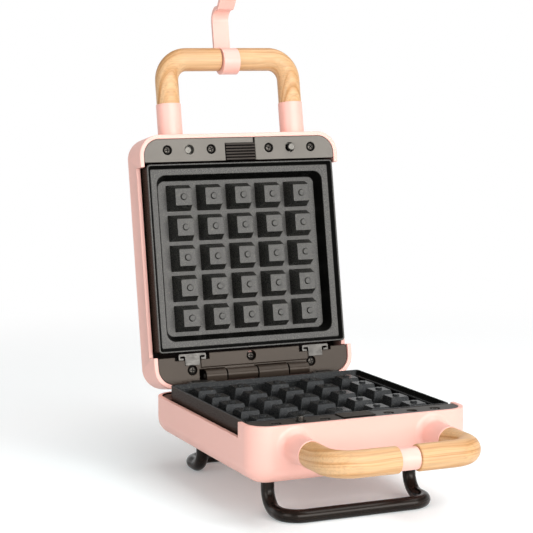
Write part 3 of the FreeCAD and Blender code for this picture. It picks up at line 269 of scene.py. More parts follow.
rodLook = {
    "light": "1B1512", "shade": "15100D", "sunk": "0A0807",
    "cloudScale": 30.0, "grainScale": 1800.0, "peelScale": 420.0,
    "roughLow": 0.18, "roughHigh": 0.28, "grainBump": 0.06, "peelBump": 0.03, "specular": 0.19,
    "tint": (1.0, 0.93, 0.86, 1.0),
}
blackRod = mouldedPlastic("blackRod", rodLook)

# faces deep in recesses take a twin of their piece's finish with a tenth of its sheen: painted shade
shadeTwinSheen = 0.1
shadeTwinFinish = {
    finish: mouldedPlastic(finish.name + "Recess", look, shadeTwinSheen) for finish, look in (
        (pinkPlastic, pinkLook), (taupePlastic, taupeLook), (dimTaupe, shadedTaupeLook),
        (hingePlastic, hingeLook), (buttonPlastic, buttonLook))
}


# speckled coating of the plates, with painted shade, dark and almost without sheen, on the steep inner walls,
# and a browner painted shade on the outside
plateLook = {
    "wall": "0C0C0B", "wallSpecular": 0.03, "skirt": "30251F",
    "fleckScale": 1300.0, "fleckStops": ((0.54, 0.0), (0.70, 1.0)), "grainScale": 1200.0, "cloudScale": 26.0,
    "roughLow": 0.20, "roughHigh": 0.36, "bump": 0.30,
}
coatGloss = {  # both plates have the same coating; the lower one has a duller, cooler sheen and darker tone as painted shade, and the warm and cool tints are painted reflections
    "lid": {"light": "2A2A29", "shade": "242423", "fleck": "47463F", "specular": 0.34,
            "tint": (1.0, 0.97, 0.93, 1.0)},
    "base": {"light": "222324", "shade": "1C1D1E", "fleck": "3A3A37", "specular": 0.12,
             "tint": (0.94, 0.97, 1.0, 1.0)},
}


def nonStickCoating(name, gloss, specular):
    material, tree, shader = newFinish(name)
    coords = coordsOf(tree)
    cloud = noiseOf(tree, coords, plateLook["cloudScale"], detail=4.0)
    grain = noiseOf(tree, coords, plateLook["grainScale"], detail=2.0, roughness=0.6)
    fleck = noiseOf(tree, coords, plateLook["fleckScale"], detail=1.0, roughness=0.5)
    spots = greyRamp(tree, fleck, plateLook["fleckStops"])
    colour = mixOf(tree, spots, toneOf(tree, cloud, gloss), linear(gloss["fleck"]))
    # painted shade on the steep walls, then the browner painted shade on the outside
    colour = mixOf(tree, markOf(tree, "steep"), colour, linear(plateLook["wall"]))
    colour = mixOf(tree, markOf(tree, "outside"), colour, linear(plateLook["skirt"]))
    setInputs(tree, shader, {
        "Base Color": colour,
        "Roughness": rangeOf(tree, grain, plateLook["roughLow"], plateLook["roughHigh"], noiseSpan),
        "Normal": bumpOf(tree, grain, plateLook["bump"], "coat"),
        "Specular IOR Level": specular,
        "Specular Tint": gloss["tint"],
    })
    return material


plateCoats = {half: nonStickCoating(half + "PlateCoat", gloss, gloss["specular"])
              for half, gloss in coatGloss.items()}
wallShadeCoats = {half: nonStickCoating(half + "WallCoat", gloss, plateLook["wallSpecular"])
             for half, gloss in coatGloss.items()}


# metals, streaked along their stretch, with painted shade in the crosses of the screws
streakSpan = (0.25, 0.75)
crossShade = "040404"


def brushedMetal(name, look):
    material, tree, shader = newFinish(name)
    streaks = noiseOf(tree, coordsOf(tree, look["stretch"]), 1.0, detail=4.0, roughness=0.6)
    clouds = noiseOf(tree, coordsOf(tree), look["cloudScale"], detail=3.0)
    tone = toneOf(tree, streaks, look, streakSpan)
    setInputs(tree, shader, {
        "Base Color": mixOf(tree, markOf(tree, "sunk"), tone, linear(crossShade)),
        "Roughness": rangeOf(tree, clouds, look["roughLow"], look["roughHigh"], noiseSpan),
        "Normal": bumpOf(tree, streaks, look["bump"], "brushed"),
        "Metallic": look["metallic"],
        "Specular IOR Level": look["specular"],
    })
    return material


brightLook = {
    "light": "5E5C59", "shade": "383633", "stretch": (300.0, 5200.0, 5200.0), "cloudScale": 300.0,
    "roughLow": 0.30, "roughHigh": 0.48, "bump": 0.25, "metallic": 1.0, "specular": 0.5,
}
brightSteel = brushedMetal("brightSteel", brightLook)
darkLook = {
    "light": "56524D", "shade": "433F3A", "stretch": (1800.0, 1800.0, 1800.0), "cloudScale": 900.0,
    "roughLow": 0.30, "roughHigh": 0.42, "bump": 0.20, "metallic": 0.8, "specular": 0.25,
}
darkSteel = brushedMetal("darkSteel", darkLook)
pinLook = {
    "light": "5A5854", "shade": "494743", "stretch": (1800.0, 1800.0, 1800.0), "cloudScale": 600.0,
    "roughLow": 0.22, "roughHigh": 0.34, "bump": 0.10, "metallic": 1.0, "specular": 0.5,
}
pinSteel = brushedMetal("pinSteel", pinLook)
trayLook = {
    "light": "BFC0C0", "shade": "9FA1A2", "stretch": (60.0, 2400.0, 2400.0), "cloudScale": 60.0,
    "roughLow": 0.30, "roughHigh": 0.48, "bump": 0.15, "metallic": 1.0, "specular": 0.5,
}
trayAluminium = brushedMetal("trayAluminium", trayLook)
plainLook = {
    "light": "A9A7A3", "shade": "878580", "stretch": (900.0, 900.0, 140.0), "cloudScale": 200.0,
    "roughLow": 0.30, "roughHigh": 0.50, "bump": 0.20, "metallic": 1.0, "specular": 0.5,
}
plainSteel = brushedMetal("plainSteel", plainLook)


woodLook = {
    "dark": "B5834F", "mid": "C99B6B", "pale": "D2AA7E", "pore": "8C5F35",
    "layerScale": (6.0, 10.0, 640.0), "layerStops": (0.36, 0.47, 0.60), "lowerLean": 6.0, "upperLean": 84.0,
    "fibreScale": (22.0, 900.0, 900.0), "fibreStops": ((0.32, 0.74), (0.62, 1.05)), "fibreShare": 0.7,
    "poreScale": (70.0, 2200.0, 2200.0), "poreStops": ((0.64, 0.0), (0.76, 0.45)),
    "figureScale": 34.0, "figureWander": 0.0028,
    "roughLow": 0.36, "roughHigh": 0.50, "bump": 0.12, "specular": 0.36,
}


# the grips are cut from board whose layers lie flat in the handle, so streaks follow the bends
def oiledOak(name, lean):
    material, tree, shader = newFinish(name)
    coords = coordsOf(tree)
    figure = addNode(tree, "ShaderNodeTexNoise", {
        "Vector": coords, "Scale": woodLook["figureScale"], "Detail": 1.0})
    middle = addNode(tree, "ShaderNodeVectorMath", {0: figure.outputs["Color"], 1: noiseMiddle},
                     operation="SUBTRACT")
    wander = addNode(tree, "ShaderNodeVectorMath", {
        0: middle.outputs["Vector"], "Scale": woodLook["figureWander"]}, operation="SCALE")
    moved = addNode(tree, "ShaderNodeVectorMath", {0: coords, 1: wander.outputs["Vector"]}, operation="ADD")
    turned = addNode(tree, "ShaderNodeVectorRotate", {
        "Vector": moved.outputs["Vector"], "Angle": math.radians(lean)}, rotation_type="X_AXIS")
    board = addNode(tree, "ShaderNodeMapping", {
        "Vector": turned.outputs["Vector"], "Scale": woodLook["layerScale"]})
    layers = noiseOf(tree, board.outputs["Vector"], 1.0, detail=3.0, roughness=0.62)
    fibre = noiseOf(tree, coordsOf(tree, woodLook["fibreScale"]), 1.0, detail=4.0, roughness=0.6)
    pores = noiseOf(tree, coordsOf(tree, woodLook["poreScale"]), 1.0, detail=2.0, roughness=0.5)
    tones = [linear(woodLook[tone]) for tone in ("dark", "mid", "pale")]
    layerTone = rampOf(tree, layers, list(zip(woodLook["layerStops"], tones)))
    fibreTone = greyRamp(tree, fibre, woodLook["fibreStops"])
    colour = mixOf(tree, woodLook["fibreShare"], layerTone, fibreTone, "MULTIPLY")
    colour = mixOf(tree, greyRamp(tree, pores, woodLook["poreStops"]), colour, linear(woodLook["pore"]))
    setInputs(tree, shader, {
        "Base Color": colour,
        "Roughness": rangeOf(tree, fibre, woodLook["roughLow"], woodLook["roughHigh"], noiseSpan),
        "Normal": bumpOf(tree, fibre, woodLook["bump"], "wood"),
        "Specular IOR Level": woodLook["specular"],
    })
    return material


lowerWood = oiledOak("lowerWood", woodLook["lowerLean"])
upperWood = oiledOak("upperWood", woodLook["upperLean"])

lensLook = {
    "left": "B5261E", "right": "3F8F4A", "scale": 900.0, "roughLow": 0.10, "roughHigh": 0.20, "bump": 0.05,
}


def lampLens():
    material, tree, shader = newFinish("lensPlastic")
    coords = coordsOf(tree)
    parts = addNode(tree, "ShaderNodeSeparateXYZ", {"Vector": coords})
    side = addNode(tree, "ShaderNodeMath", {0: parts.outputs["X"], 1: 0.0}, operation="GREATER_THAN")
    grain = noiseOf(tree, coords, lensLook["scale"], detail=2.0)
    setInputs(tree, shader, {
        "Base Color": mixOf(tree, side.outputs["Value"], linear(lensLook["left"]), linear(lensLook["right"])),
        "Roughness": rangeOf(tree, grain, lensLook["roughLow"], lensLook["roughHigh"]),
        "Normal": bumpOf(tree, grain, lensLook["bump"], "lens"),
    })
    return material


lensPlastic = lampLens()
finishes = {
    "pink_plastic": pinkPlastic, "coated_plate": plateCoats["lid"], "taupe_plastic": taupePlastic,
    "bright_steel": brightSteel, "dark_steel": darkSteel, "tray_aluminium": trayAluminium,
    "plain_steel": plainSteel, "light_wood": lowerWood, "core_plastic": corePlastic,
    "black_rod": blackRod, "soft_rubber": softRubber, "lens_plastic": lensPlastic,
}
for name, node in cadNodes.items():
    node.data.materials.clear()
    node.data.materials.append(finishes[slotOf[name]])
for name in ("upper_handle_left", "upper_handle_right"):
    cadNodes[name].data.materials[0] = upperWood
print("finishes:", len(finishes))


# pieces
mergeGap = 2e-6  # in m, joins the loose triangles of a CAD mesh
markedAbove = 0.5  # a vertex with more than this counts as marked
evenWeight = 80  # how much large faces lead the smooth normals
edgeSegments = 2


def camel(name):
    first, *rest = name.split("_")
    return first + "".join(word.capitalize() for word in rest)


def settle(name, mesh, finish, *nodes):
    mesh.materials.clear()
    mesh.materials.append(finish)
    piece = linkUp(name, mesh)
    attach(piece, cadNodes[nodes[0]]["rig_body"])
    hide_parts(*nodes)
    return piece


# one value for each vertex, and 0 for those past the end of the list
def markVertices(mesh, layer, values):
    padded = values + [0.0] * (len(mesh.vertices) - len(values))
    mesh.attributes.new(layer, "FLOAT", "POINT").data.foreach_set("value", padded)


# faces that are marked all round take a second, duller finish: painted shade
def paintedShadeFaces(piece, finish, *layers):
    mesh = piece.data
    mesh.materials.append(finish)
    for layer in layers:
        marks = mesh.attributes[layer].data
        for polygon in mesh.polygons:
            if min(marks[vertex].value for vertex in polygon.vertices) > markedAbove:
                polygon.material_index = 1


# turns a source object and its modifiers into a plain mesh, and drops the source
def bakeMesh(source, name):
    bpy.context.view_layer.update()
    graph = bpy.context.evaluated_depsgraph_get()
    mesh = bpy.data.meshes.new_from_object(source.evaluated_get(graph), depsgraph=graph)
    mesh.name = name
    source.modifiers.clear()
    bpy.data.objects.remove(source)
    return mesh


def smoothFaces(mesh):
    for polygon in mesh.polygons:
        polygon.use_smooth = True


def evenNormals(source):
    smoothFaces(source.data)
    source.modifiers.new("even", "WEIGHTED_NORMAL").weight = evenWeight


def roundEdges(source, width, angle, clamp):
    rounding = source.modifiers.new("edge", "BEVEL")
    rounding.limit_method = "ANGLE"
    rounding.angle_limit = math.radians(angle)
    rounding.width = width
    rounding.segments = edgeSegments
    rounding.use_clamp_overlap = clamp


def cutWith(source, cutter, crossing=False):
    modifier = source.modifiers.new("cut", "BOOLEAN")
    modifier.operation = "DIFFERENCE"
    modifier.solver = "EXACT"
    modifier.use_self = crossing
    modifier.object = cutter


def meshOf(sketch, name):
    bmesh.ops.recalc_face_normals(sketch, faces=sketch.faces)
    mesh = bpy.data.meshes.new(name)
    sketch.to_mesh(mesh)
    sketch.free()
    return mesh


def mergedCopy(node):
    sketch = bmesh.new()
    sketch.from_mesh(cadNodes[node].data)
    bmesh.ops.remove_doubles(sketch, verts=sketch.verts, dist=mergeGap)
    return sketch


# a rounded rectangle as a closed loop, anticlockwise from its lower right corner
def roundLoop(left, right, low, high, corner, depth, steps):
    loop = []
    spots = ((right - corner, low + corner), (right - corner, high - corner),
             (left + corner, high - corner), (left + corner, low + corner))
    for quarter, (x, y) in enumerate(spots):
        for step in range(steps + 1):
            angle = math.radians(90 * (quarter - 1) + 90 * step / steps)
            loop.append((x + corner * math.cos(angle), y + corner * math.sin(angle), depth))
    return loop


# a circle with as many points as a rounded rectangle, starting at the same corner
def circleLoop(radius, depth, steps):
    count = 4 * (steps + 1)
    angles = [math.radians(-45 + (n - steps / 2) * 360 / count) for n in range(count)]
    return [(radius * math.cos(angle), radius * math.sin(angle), depth) for angle in angles]


def ringLoop(radius, depth, sides):
    angles = [2 * math.pi * n / sides for n in range(sides)]
    return [(radius * math.cos(angle), radius * math.sin(angle), depth) for angle in angles]


def loftLoops(sketch, loops):
    rows = [[sketch.verts.new(point) for point in loop] for loop in loops]
    for near, far in zip(rows, rows[1:]):
        for i in range(len(near)):
            j = (i + 1) % len(near)
            sketch.faces.new((near[i], near[j], far[j], far[i]))
    sketch.faces.new(list(reversed(rows[0])))
    sketch.faces.new(rows[-1])


def addBox(sketch, low, high):
    middle = [(a + b) / 2 for a, b in zip(low, high)]
    size = [b - a for a, b in zip(low, high)]
    bmesh.ops.create_cube(sketch, size=1.0, matrix=Matrix.Translation(middle) @ Matrix.Diagonal((*size, 1.0)))


# Geometry Nodes helpers
def newTree(name, sockets):
    tree = bpy.data.node_groups.new(name, "GeometryNodeTree")
    tree.interface.new_socket("Geometry", in_out="INPUT", socket_type="NodeSocketGeometry")
    tree.interface.new_socket("Geometry", in_out="OUTPUT", socket_type="NodeSocketGeometry")
    for label, kind in sockets.items():
        tree.interface.new_socket(label, in_out="INPUT", socket_type="NodeSocket" + kind)
    return tree, addNode(tree, "NodeGroupInput").outputs, addNode(tree, "NodeGroupOutput")


def endTree(tree, geometry, finish, output):
    real = addNode(tree, "GeometryNodeRealizeInstances", {"Geometry": geometry})
    painted = addNode(tree, "GeometryNodeSetMaterial", {
        "Geometry": real.outputs["Geometry"], "Material": finish})
    tree.links.new(painted.outputs["Geometry"], output.inputs["Geometry"])


def grow(source, tree, values):
    modifier = source.modifiers.new("grow", "NODES")
    modifier.node_group = tree
    for item in tree.interface.items_tree:
        if item.in_out == "INPUT" and item.name in values:
            modifier[item.identifier] = values[item.name]


# grid plates, in mm: a pan drawn as loops inside one another, with pegs set out by Geometry Nodes
plateSet = {
    "half": 65.0, "rear": 16.0, "front": 136.2, "corner": 2.2, "cornerSteps": 6,
    "back": 13.5, "face": 0.7, "margin": 3.7, "floor": 11.7, "across": 5, "along": 5,
    "pegFoot": (8.0, 8.4), "pegTop": (5.6, 5.5), "pegCorner": 0.4, "pegSink": 0.06, "pegRoot": 0.1,
    "pegEdge": ((0.35, 0.0), (0.1, 0.03), (0.02, 0.14), (0.0, 0.3)),  # below the top, and in from the side
    "studFoot": 2.2, "studTop": 1.75, "studHigh": 1.0, "studEdge": 0.08, "studMiddle": 0.1,
    "studShares": (-0.1, 0.0, 0.06, 0.5, 0.94),  # where the stud's side has loops, from foot to top
    "lugSide": 43.0, "lugHalf": 8.0, "lugReach": 2.6, "lugRoot": 0.5, "lugFace": 1.9, "lugThick": 3.0,
    "slotHalf": 6.3, "slotLow": 3.8, "slotHigh": 6.0, "slotDeep": 1.6, "slotOpen": 1.0,
}

# what differs between the halves: the flat land round the recess, how the pegs are spread,
# and whether the front and rear walls take the same painted shade as the side walls
gridSet = {
    "lid": {"pitchAcross": 20.6, "pitchAlong": 19.4, "forward": 0.0, "pegFace": 1.2,
            "land": 6.75, "wallFoot": 10.4, "landCorner": 6.2, "endWalls": 1.0},
    "base": {"pitchAcross": 24.4, "pitchAlong": 22.5, "forward": 0.8, "pegFace": 1.6,
             "land": 3.9, "wallFoot": 5.8, "landCorner": 3.2, "endWalls": 0.0},
}


def panMesh(half):
    size, spread = plateSet, gridSet[half]
    face, margin, floor, back = size["face"], size["margin"], size["floor"], size["back"]
    wide, front, rear, outer = size["half"], size["front"], size["rear"], size["corner"]
    land, foot, bend, ends = spread["land"], spread["wallFoot"], spread["landCorner"], spread["endWalls"]
    profile = [  # inset from the outline, depth, corner radius, and the share of painted shade on the steep walls
        (0.9, back, outer - 0.6, 0), (0.3, back - 0.1, outer - 0.2, 0), (0.0, back - 0.5, outer, 0),
        (0.0, face + 0.5, outer, 0), (0.12, face + 0.18, outer - 0.1, 0), (0.4, face, outer - 0.3, 0),
        (0.85, face, outer - 0.6, 0), (1.15, face + 0.15, outer - 0.8, 1),
        (2.75, margin - 0.5, outer - 1.3, 1), (3.05, margin - 0.15, outer - 1.4, 0.6),
        (3.5, margin, outer - 1.5, 0), (land, margin, bend, 0),
        (land + 0.3, margin + 0.12, bend - 0.2, 0.3), (land + 0.5, margin + 0.5, bend - 0.3, 1),
        (foot - 0.7, floor - 0.8, bend - 1.0, 1), (foot - 0.5, floor - 0.25, bend - 1.2, 0.6),
        (foot, floor, bend - 1.4, 0),
    ]
    steps = size["cornerSteps"]
    loops = [roundLoop(inset - wide, wide - inset, inset - front, -rear - inset, corner, depth, steps)
             for inset, depth, corner, steep in profile]
    sketch = bmesh.new()
    loftLoops(sketch, loops)
    for side in (-1, 1):
        middle = side * size["lugSide"]
        low = (middle - size["lugHalf"], -rear - size["lugRoot"], size["lugFace"])
        high = (middle + size["lugHalf"], size["lugReach"] - rear, size["lugFace"] + size["lugThick"])
        addBox(sketch, low, high)
    mesh = meshOf(sketch, "pan")
    # how much painted shade each vertex takes, less on the front and rear walls where endWalls is below 1
    steepness = []
    for (inset, depth, corner, steep), loop in zip(profile, loops):
        straight = wide - inset - corner  # up to here a loop's end runs straight across
        for point in loop:
            sideShare = min(1.0, max(0.0, (abs(point[0]) - straight) / corner))
            steepness.append(steep * (ends + (1.0 - ends) * sideShare))
    markVertices(mesh, "steep", steepness)
    # the outer faces take the skirt's painted shade
    outside = [1.0 if inset == 0.0 else 0.0 for inset, *rest in profile for point in loops[0]]
    markVertices(mesh, "outside", outside)
    return mesh


# a square peg with leaning sides and a small round stud on its top
def pegMesh(half):
    size, steps = plateSet, plateSet["cornerSteps"]
    floor, face = size["floor"], gridSet[half]["pegFace"]

    def squareAt(depth, inset=0.0):
        share = (depth - face) / (floor - face)
        across, along = (top + (foot - top) * share - inset
                         for top, foot in zip(size["pegTop"], size["pegFoot"]))
        return roundLoop(-across, across, -along, along, size["pegCorner"], depth, steps)

    loops = [squareAt(floor + size["pegSink"], -size["pegSink"]), squareAt(floor - size["pegRoot"])]
    loops += [squareAt(face + drop, inset) for drop, inset in size["pegEdge"]]
    top, rise = face - size["studHigh"], size["studFoot"] - size["studTop"]
    for share in size["studShares"]:
        depth = face - size["studHigh"] * max(share, 0.0)
        loops.append(circleLoop(size["studFoot"] - rise * share, depth, steps))
    topRadii = (size["studTop"] - size["studEdge"], size["studMiddle"])
    loops += [circleLoop(radius, top, steps) for radius in topRadii]
    sketch = bmesh.new()
    loftLoops(sketch, loops)
    return meshOf(sketch, "peg")


def slotMesh():
    sketch = bmesh.new()
    addBox(sketch, (-plateSet["slotHalf"], -plateSet["front"] - plateSet["slotOpen"], plateSet["slotLow"]),
           (plateSet["slotHalf"], plateSet["slotDeep"] - plateSet["front"], plateSet["slotHigh"]))
    return meshOf(sketch, "cutter")


def plateTree():
    tree, given, output = newTree("gridPlate", {
        "peg": "Object", "across": "Int", "along": "Int", "pitchAcross": "Float", "pitchAlong": "Float",
        "centre": "Vector", "finish": "Material"})
    spans = []
    for count, pitch in (("across", "pitchAcross"), ("along", "pitchAlong")):
        steps = addNode(tree, "ShaderNodeMath", {0: given[count], 1: 1.0}, operation="SUBTRACT")
        spans.append(addNode(tree, "ShaderNodeMath", {0: steps.outputs[0], 1: given[pitch]},
                             operation="MULTIPLY").outputs[0])
    lattice = addNode(tree, "GeometryNodeMeshGrid", {
        "Size X": spans[0], "Size Y": spans[1], "Vertices X": given["across"], "Vertices Y": given["along"]})
    placed = addNode(tree, "GeometryNodeTransform", {
        "Geometry": lattice.outputs["Mesh"], "Translation": given["centre"]})
    template = addNode(tree, "GeometryNodeObjectInfo", {"Object": given["peg"], "As Instance": True})
    pegs = addNode(tree, "GeometryNodeInstanceOnPoints", {
        "Points": placed.outputs["Geometry"], "Instance": template.outputs["Geometry"]})
    joined = addNode(tree, "GeometryNodeJoinGeometry", {"Geometry": pegs.outputs["Instances"]})
    tree.links.new(given["Geometry"], joined.inputs["Geometry"])  # the pan joins its pegs
    endTree(tree, joined.outputs["Geometry"], given["finish"], output)
    return tree


gridTree = plateTree()
for half in ("lid", "base"):
    pan = linkUp("pan", panMesh(half))
    peg = linkUp("peg", pegMesh(half))
    cutter = linkUp("cutter", slotMesh())
    cutWith(pan, cutter)
    smoothFaces(peg.data)
    grow(pan, gridTree, {
        "peg": peg, "across": plateSet["across"], "along": plateSet["along"],
        "pitchAcross": gridSet[half]["pitchAcross"], "pitchAlong": gridSet[half]["pitchAlong"],
        "centre": (0.0, -(plateSet["rear"] + plateSet["front"]) / 2 - gridSet[half]["forward"], 0.0),
        "finish": plateCoats[half]})
    evenNormals(pan)
    grid = bakeMesh(pan, half + "GridPlate")
    bpy.data.objects.remove(peg)
    bpy.data.objects.remove(cutter)
    grid.transform(places[half])
    piece = settle(half + "GridPlate", grid, plateCoats[half], half + "_plate")
    paintedShadeFaces(piece, wallShadeCoats[half], "steep", "outside")
print("grid plates:", plateSet["across"] * plateSet["along"], "pegs each")


# cross-head screws, in mm: one template set on the places of the CAD screws with a random turn
screwSet = {
    "head": 2.0, "rim": 0.40, "height": 1.3, "sides": 24,
    "shank": 1.5, "length": 11.0, "tip": 1.6, "point": 0.3,
    "dome": ((0.20, 0.0), (0.55, 0.04), (0.82, 0.16), (0.95, 0.34)),  # share of the radius, and depth
    "edgeIn": 0.12, "edgeHigh": 0.1, "neckOut": 0.1, "neckHigh": 0.15,
    "arm": 1.45, "armHalf": 0.36, "deep": 0.6, "clear": 0.5, "deepNear": 0.1, "seed": 7,
    "nodes": ("lid_strip_screws", "base_strip_screws", "lid_cover_screws", "base_sill_screws"),
}


def screwMesh():
    size = screwSet
    head, height, shank, end = size["head"], size["height"], size["shank"], size["height"] + size["length"]
    profile = [(head * share, depth) for share, depth in size["dome"]]
    profile += [
        (head, size["rim"]), (head, height - size["edgeHigh"]), (head - size["edgeIn"], height),
        (shank + size["neckOut"], height), (shank, height + size["neckHigh"]), (shank, end - size["tip"]),
        (size["point"], end)]
    sketch = bmesh.new()
    loftLoops(sketch, [ringLoop(radius, depth, size["sides"]) for radius, depth in profile])
    cross = bmesh.new()
    for across, along in ((size["arm"], size["armHalf"]), (size["armHalf"], size["arm"])):
        addBox(cross, (-across, -along, -size["clear"]), (across, along, size["deep"]))
    body = linkUp("screw", meshOf(sketch, "screw"))
    blade = linkUp("blade", meshOf(cross, "blade"))
    cutWith(body, blade, crossing=True)
    mesh = bakeMesh(body, "screwTemplate")
    bpy.data.objects.remove(blade)
    # the faces deep in the cross take painted shade
    bottom = size["deep"] - size["deepNear"]
    markVertices(mesh, "sunk", [1.0 if vert.co.z > bottom else 0.0 for vert in mesh.vertices])
    return mesh


# where the heads sit: the middle of each loose solid of a CAD node, in the half's own frame
def headPlaces(node, half):
    sketch = mergedCopy(node)
    sketch.transform(places[half].inverted())
    left, found = set(sketch.verts), []
    while left:
        grown, edge = set(), [min(left, key=lambda vert: vert.index)]
        while edge:
            vert = edge.pop()
            if vert not in grown:
                grown.add(vert)
                edge.extend(link.other_vert(vert) for link in vert.link_edges)
        left -= grown
        spots = [vert.co for vert in grown]
        middle = [(min(spot[i] for spot in spots) + max(spot[i] for spot in spots)) / 2 for i in (0, 1)]
        found.append((*middle, min(spot[2] for spot in spots)))
    sketch.free()
    return sorted(found)


def screwTree():
    tree, given, output = newTree("screwSet", {"screw": "Object", "seed": "Int", "finish": "Material"})
    turns = addNode(tree, "FunctionNodeRandomValue", {
        "Seed": given["seed"], 3: 2 * math.pi}, data_type="FLOAT")  # input 3 is the upper end
    turn = addNode(tree, "ShaderNodeCombineXYZ", {"Z": turns.outputs[1]})
    template = addNode(tree, "GeometryNodeObjectInfo", {"Object": given["screw"], "As Instance": True})
    screws = addNode(tree, "GeometryNodeInstanceOnPoints", {
        "Points": given["Geometry"], "Instance": template.outputs["Geometry"],
        "Rotation": turn.outputs["Vector"]})
    endTree(tree, screws.outputs["Instances"], given["finish"], output)
    return tree


fixTree = screwTree()
screwTemplate = screwMesh()
for order, node in enumerate(screwSet["nodes"]):
    half = node.split("_")[0]
    spots = bpy.data.meshes.new("spots")
    spots.from_pydata(headPlaces(node, half), [], [])
    holder = linkUp("spots", spots)
    screw = linkUp("screw", screwTemplate)
    grow(holder, fixTree, {"screw": screw, "seed": screwSet["seed"] + order, "finish": darkSteel})
    row = bakeMesh(holder, camel(node))
    bpy.data.objects.remove(screw)
    row.transform(places[half])
    settle(camel(node), row, darkSteel, node)
print("screws:", len(screwSet["nodes"]), "sets")


# plate clips: a flat spring with a rail, two turned-in ends and a tab, in mm
clipSet = {"side": 43.0, "face": 0.85, "back": 1.6, "edge": 0.14, "edgeAngle": 60.0}
clipOutline = [  # half of the outline, across and along
    (4.4, 7.4), (4.85, 7.6), (5.0, 8.1), (5.0, 12.6), (5.25, 13.1), (5.7, 13.3), (8.0, 13.3),
    (8.35, 13.05), (8.35, 12.45), (8.1, 12.15), (6.1, 12.1), (5.95, 11.9), (5.95, 11.0), (6.15, 10.8),
    (8.7, 10.8), (9.15, 11.0), (9.3, 11.5), (9.3, 14.0), (9.1, 14.6), (8.6, 14.85)]


def clipMesh(half):
    sketch = bmesh.new()
    for side in (-1, 1):
        middle = side * clipSet["side"]
        points = [(middle + u, -v) for u, v in clipOutline]
        points += [(middle - u, -v) for u, v in reversed(clipOutline)]
        depths = (clipSet["face"], clipSet["back"])
        loftLoops(sketch, [[(x, y, depth) for x, y in points] for depth in depths])
    source = linkUp("clips", meshOf(sketch, "clips"))
    roundEdges(source, clipSet["edge"], clipSet["edgeAngle"], clamp=True)
    evenNormals(source)
    mesh = bakeMesh(source, half + "PlateClips")
    mesh.transform(places[half])
    return mesh


for half in ("lid", "base"):
    settle(half + "PlateClips", clipMesh(half), brightSteel, half + "_plate_clips")
print("plate clips ready")


# moulded and turned pieces keep the CAD shape, with their sharp edges rounded, in mm
softEdges = {
    "lid_shell": 0.35, "base_shell": 0.35, "lid_front_strip": 0.22, "base_front_strip": 0.22,
    "lid_hinge_cover": 0.40, "base_hinge_sill": 0.40, "lid_release_button": 0.10, "base_release_button": 0.10,
    "lower_handle_band": 0.20, "lid_strip_pins": 0.35, "base_strip_pins": 0.35, "cord_gland": 0.25,
    "indicator_lenses": 0.30,
}
softAngles = {"flat": 0.6, "edge": 38.0}  # faces that lie flatter are joined, and sharper edges rounded
softFinish = {
    "lid_hinge_cover": hingePlastic, "base_hinge_sill": hingePlastic, "base_front_strip": dimTaupe,
    "lid_release_button": buttonPlastic, "base_release_button": buttonPlastic,
    "lid_strip_pins": pinSteel, "base_strip_pins": pinSteel,
}

# where pieces take painted shade in their recesses, in the half's own frame: depths at which the painted
# shade starts and is full
paintedShadeDepths = {
    "lid_front_strip": (1.15, 2.0), "base_front_strip": (1.15, 2.0), "lid_hinge_cover": (1.8, 2.5),
    "base_hinge_sill": (10.4, 11.2), "lid_release_button": (0.22, 0.46), "base_release_button": (0.22, 0.46),
}
# the ends of the hinge knuckles take full painted shade, for the gaps between them
knuckleSet = {"radius": 4.0, "ends": (-36.0, -21.5, 0.0, 21.5, 36.0), "near": 0.6, "edge": 0.03}
shellSet = {
    "innerHalf": 66.5, "innerRear": -4.5, "innerFront": 152.5, "innerFloor": 31.5,
    "middle": Vector((0.0, -74.0, 12.0)), "sideNear": 1.0,
    "rim": 0.5, "lowRim": 9.5, "lowFront": 134.5, "drop": 0.5, "fade": 3.0,
    "dim": 0.16, "dimLow": 8.0, "dimHigh": 10.2, "dimIn": 0.1, "dimTilt": 0.001,
}


# the top of the low rim beside the lid's plate, which takes a little painted shade
def onLowRim(u, w, facing):
    shell = shellSet
    beside = abs(u) > shell["innerHalf"] - shell["dimIn"]
    return beside and shell["dimLow"] < w < shell["dimHigh"] and facing.z < -shell["dimTilt"]


# how much painted shade a point takes, in recesses, knuckle gaps, on the low rim and inside the shells: below
# 0 and past 1 are taken as 0 and 1
def paintedShadeAt(node, spot, facing):
    u, v, w = spot[0], -spot[1], spot[2]
    knuckle, shell = knuckleSet, shellSet
    atEnd = min(abs(u - end) for end in knuckle["ends"]) < knuckle["near"]
    if atEnd and math.hypot(v, w) < knuckle["radius"] - knuckle["edge"]:
        return 1.0
    if node in paintedShadeDepths:
        near, far = paintedShadeDepths[node]
        return (w - near) / (far - near)
    if node == "lid_shell" and onLowRim(u, w, facing):
        return shell["dim"]
    # inside the shells, painted shade grows with depth below the rim
    within = abs(u) < shell["innerHalf"] and shell["innerRear"] < v < shell["innerFront"]
    if not within or w >= shell["innerFloor"] or facing.dot(shell["middle"] - spot) < 0:
        return 0.0
    beside = v < shell["lowFront"] and abs(u) > shell["innerHalf"] - shell["sideNear"]
    rim = shell["lowRim"] if beside else shell["rim"]
    return (w - rim - shell["drop"]) / shell["fade"]


def markPaintedShade(mesh, node):
    inverse = places[node.split("_")[0]].inverted()
    turn = inverse.to_3x3()
    depths = [paintedShadeAt(node, inverse @ vert.co, (turn @ vert.normal).normalized()) for vert in mesh.vertices]
    markVertices(mesh, "sunk", [min(1.0, max(0.0, depth)) for depth in depths])


def softCopy(node, width):
    sketch = mergedCopy(node)
    bmesh.ops.dissolve_limit(sketch, angle_limit=math.radians(softAngles["flat"]),
                             verts=sketch.verts, edges=sketch.edges)
    mesh = bpy.data.meshes.new(camel(node))
    sketch.to_mesh(mesh)
    sketch.free()
    source = linkUp("soft", mesh)
    roundEdges(source, width * mm, softAngles["edge"], clamp=False)
    evenNormals(source)
    return bakeMesh(source, camel(node))


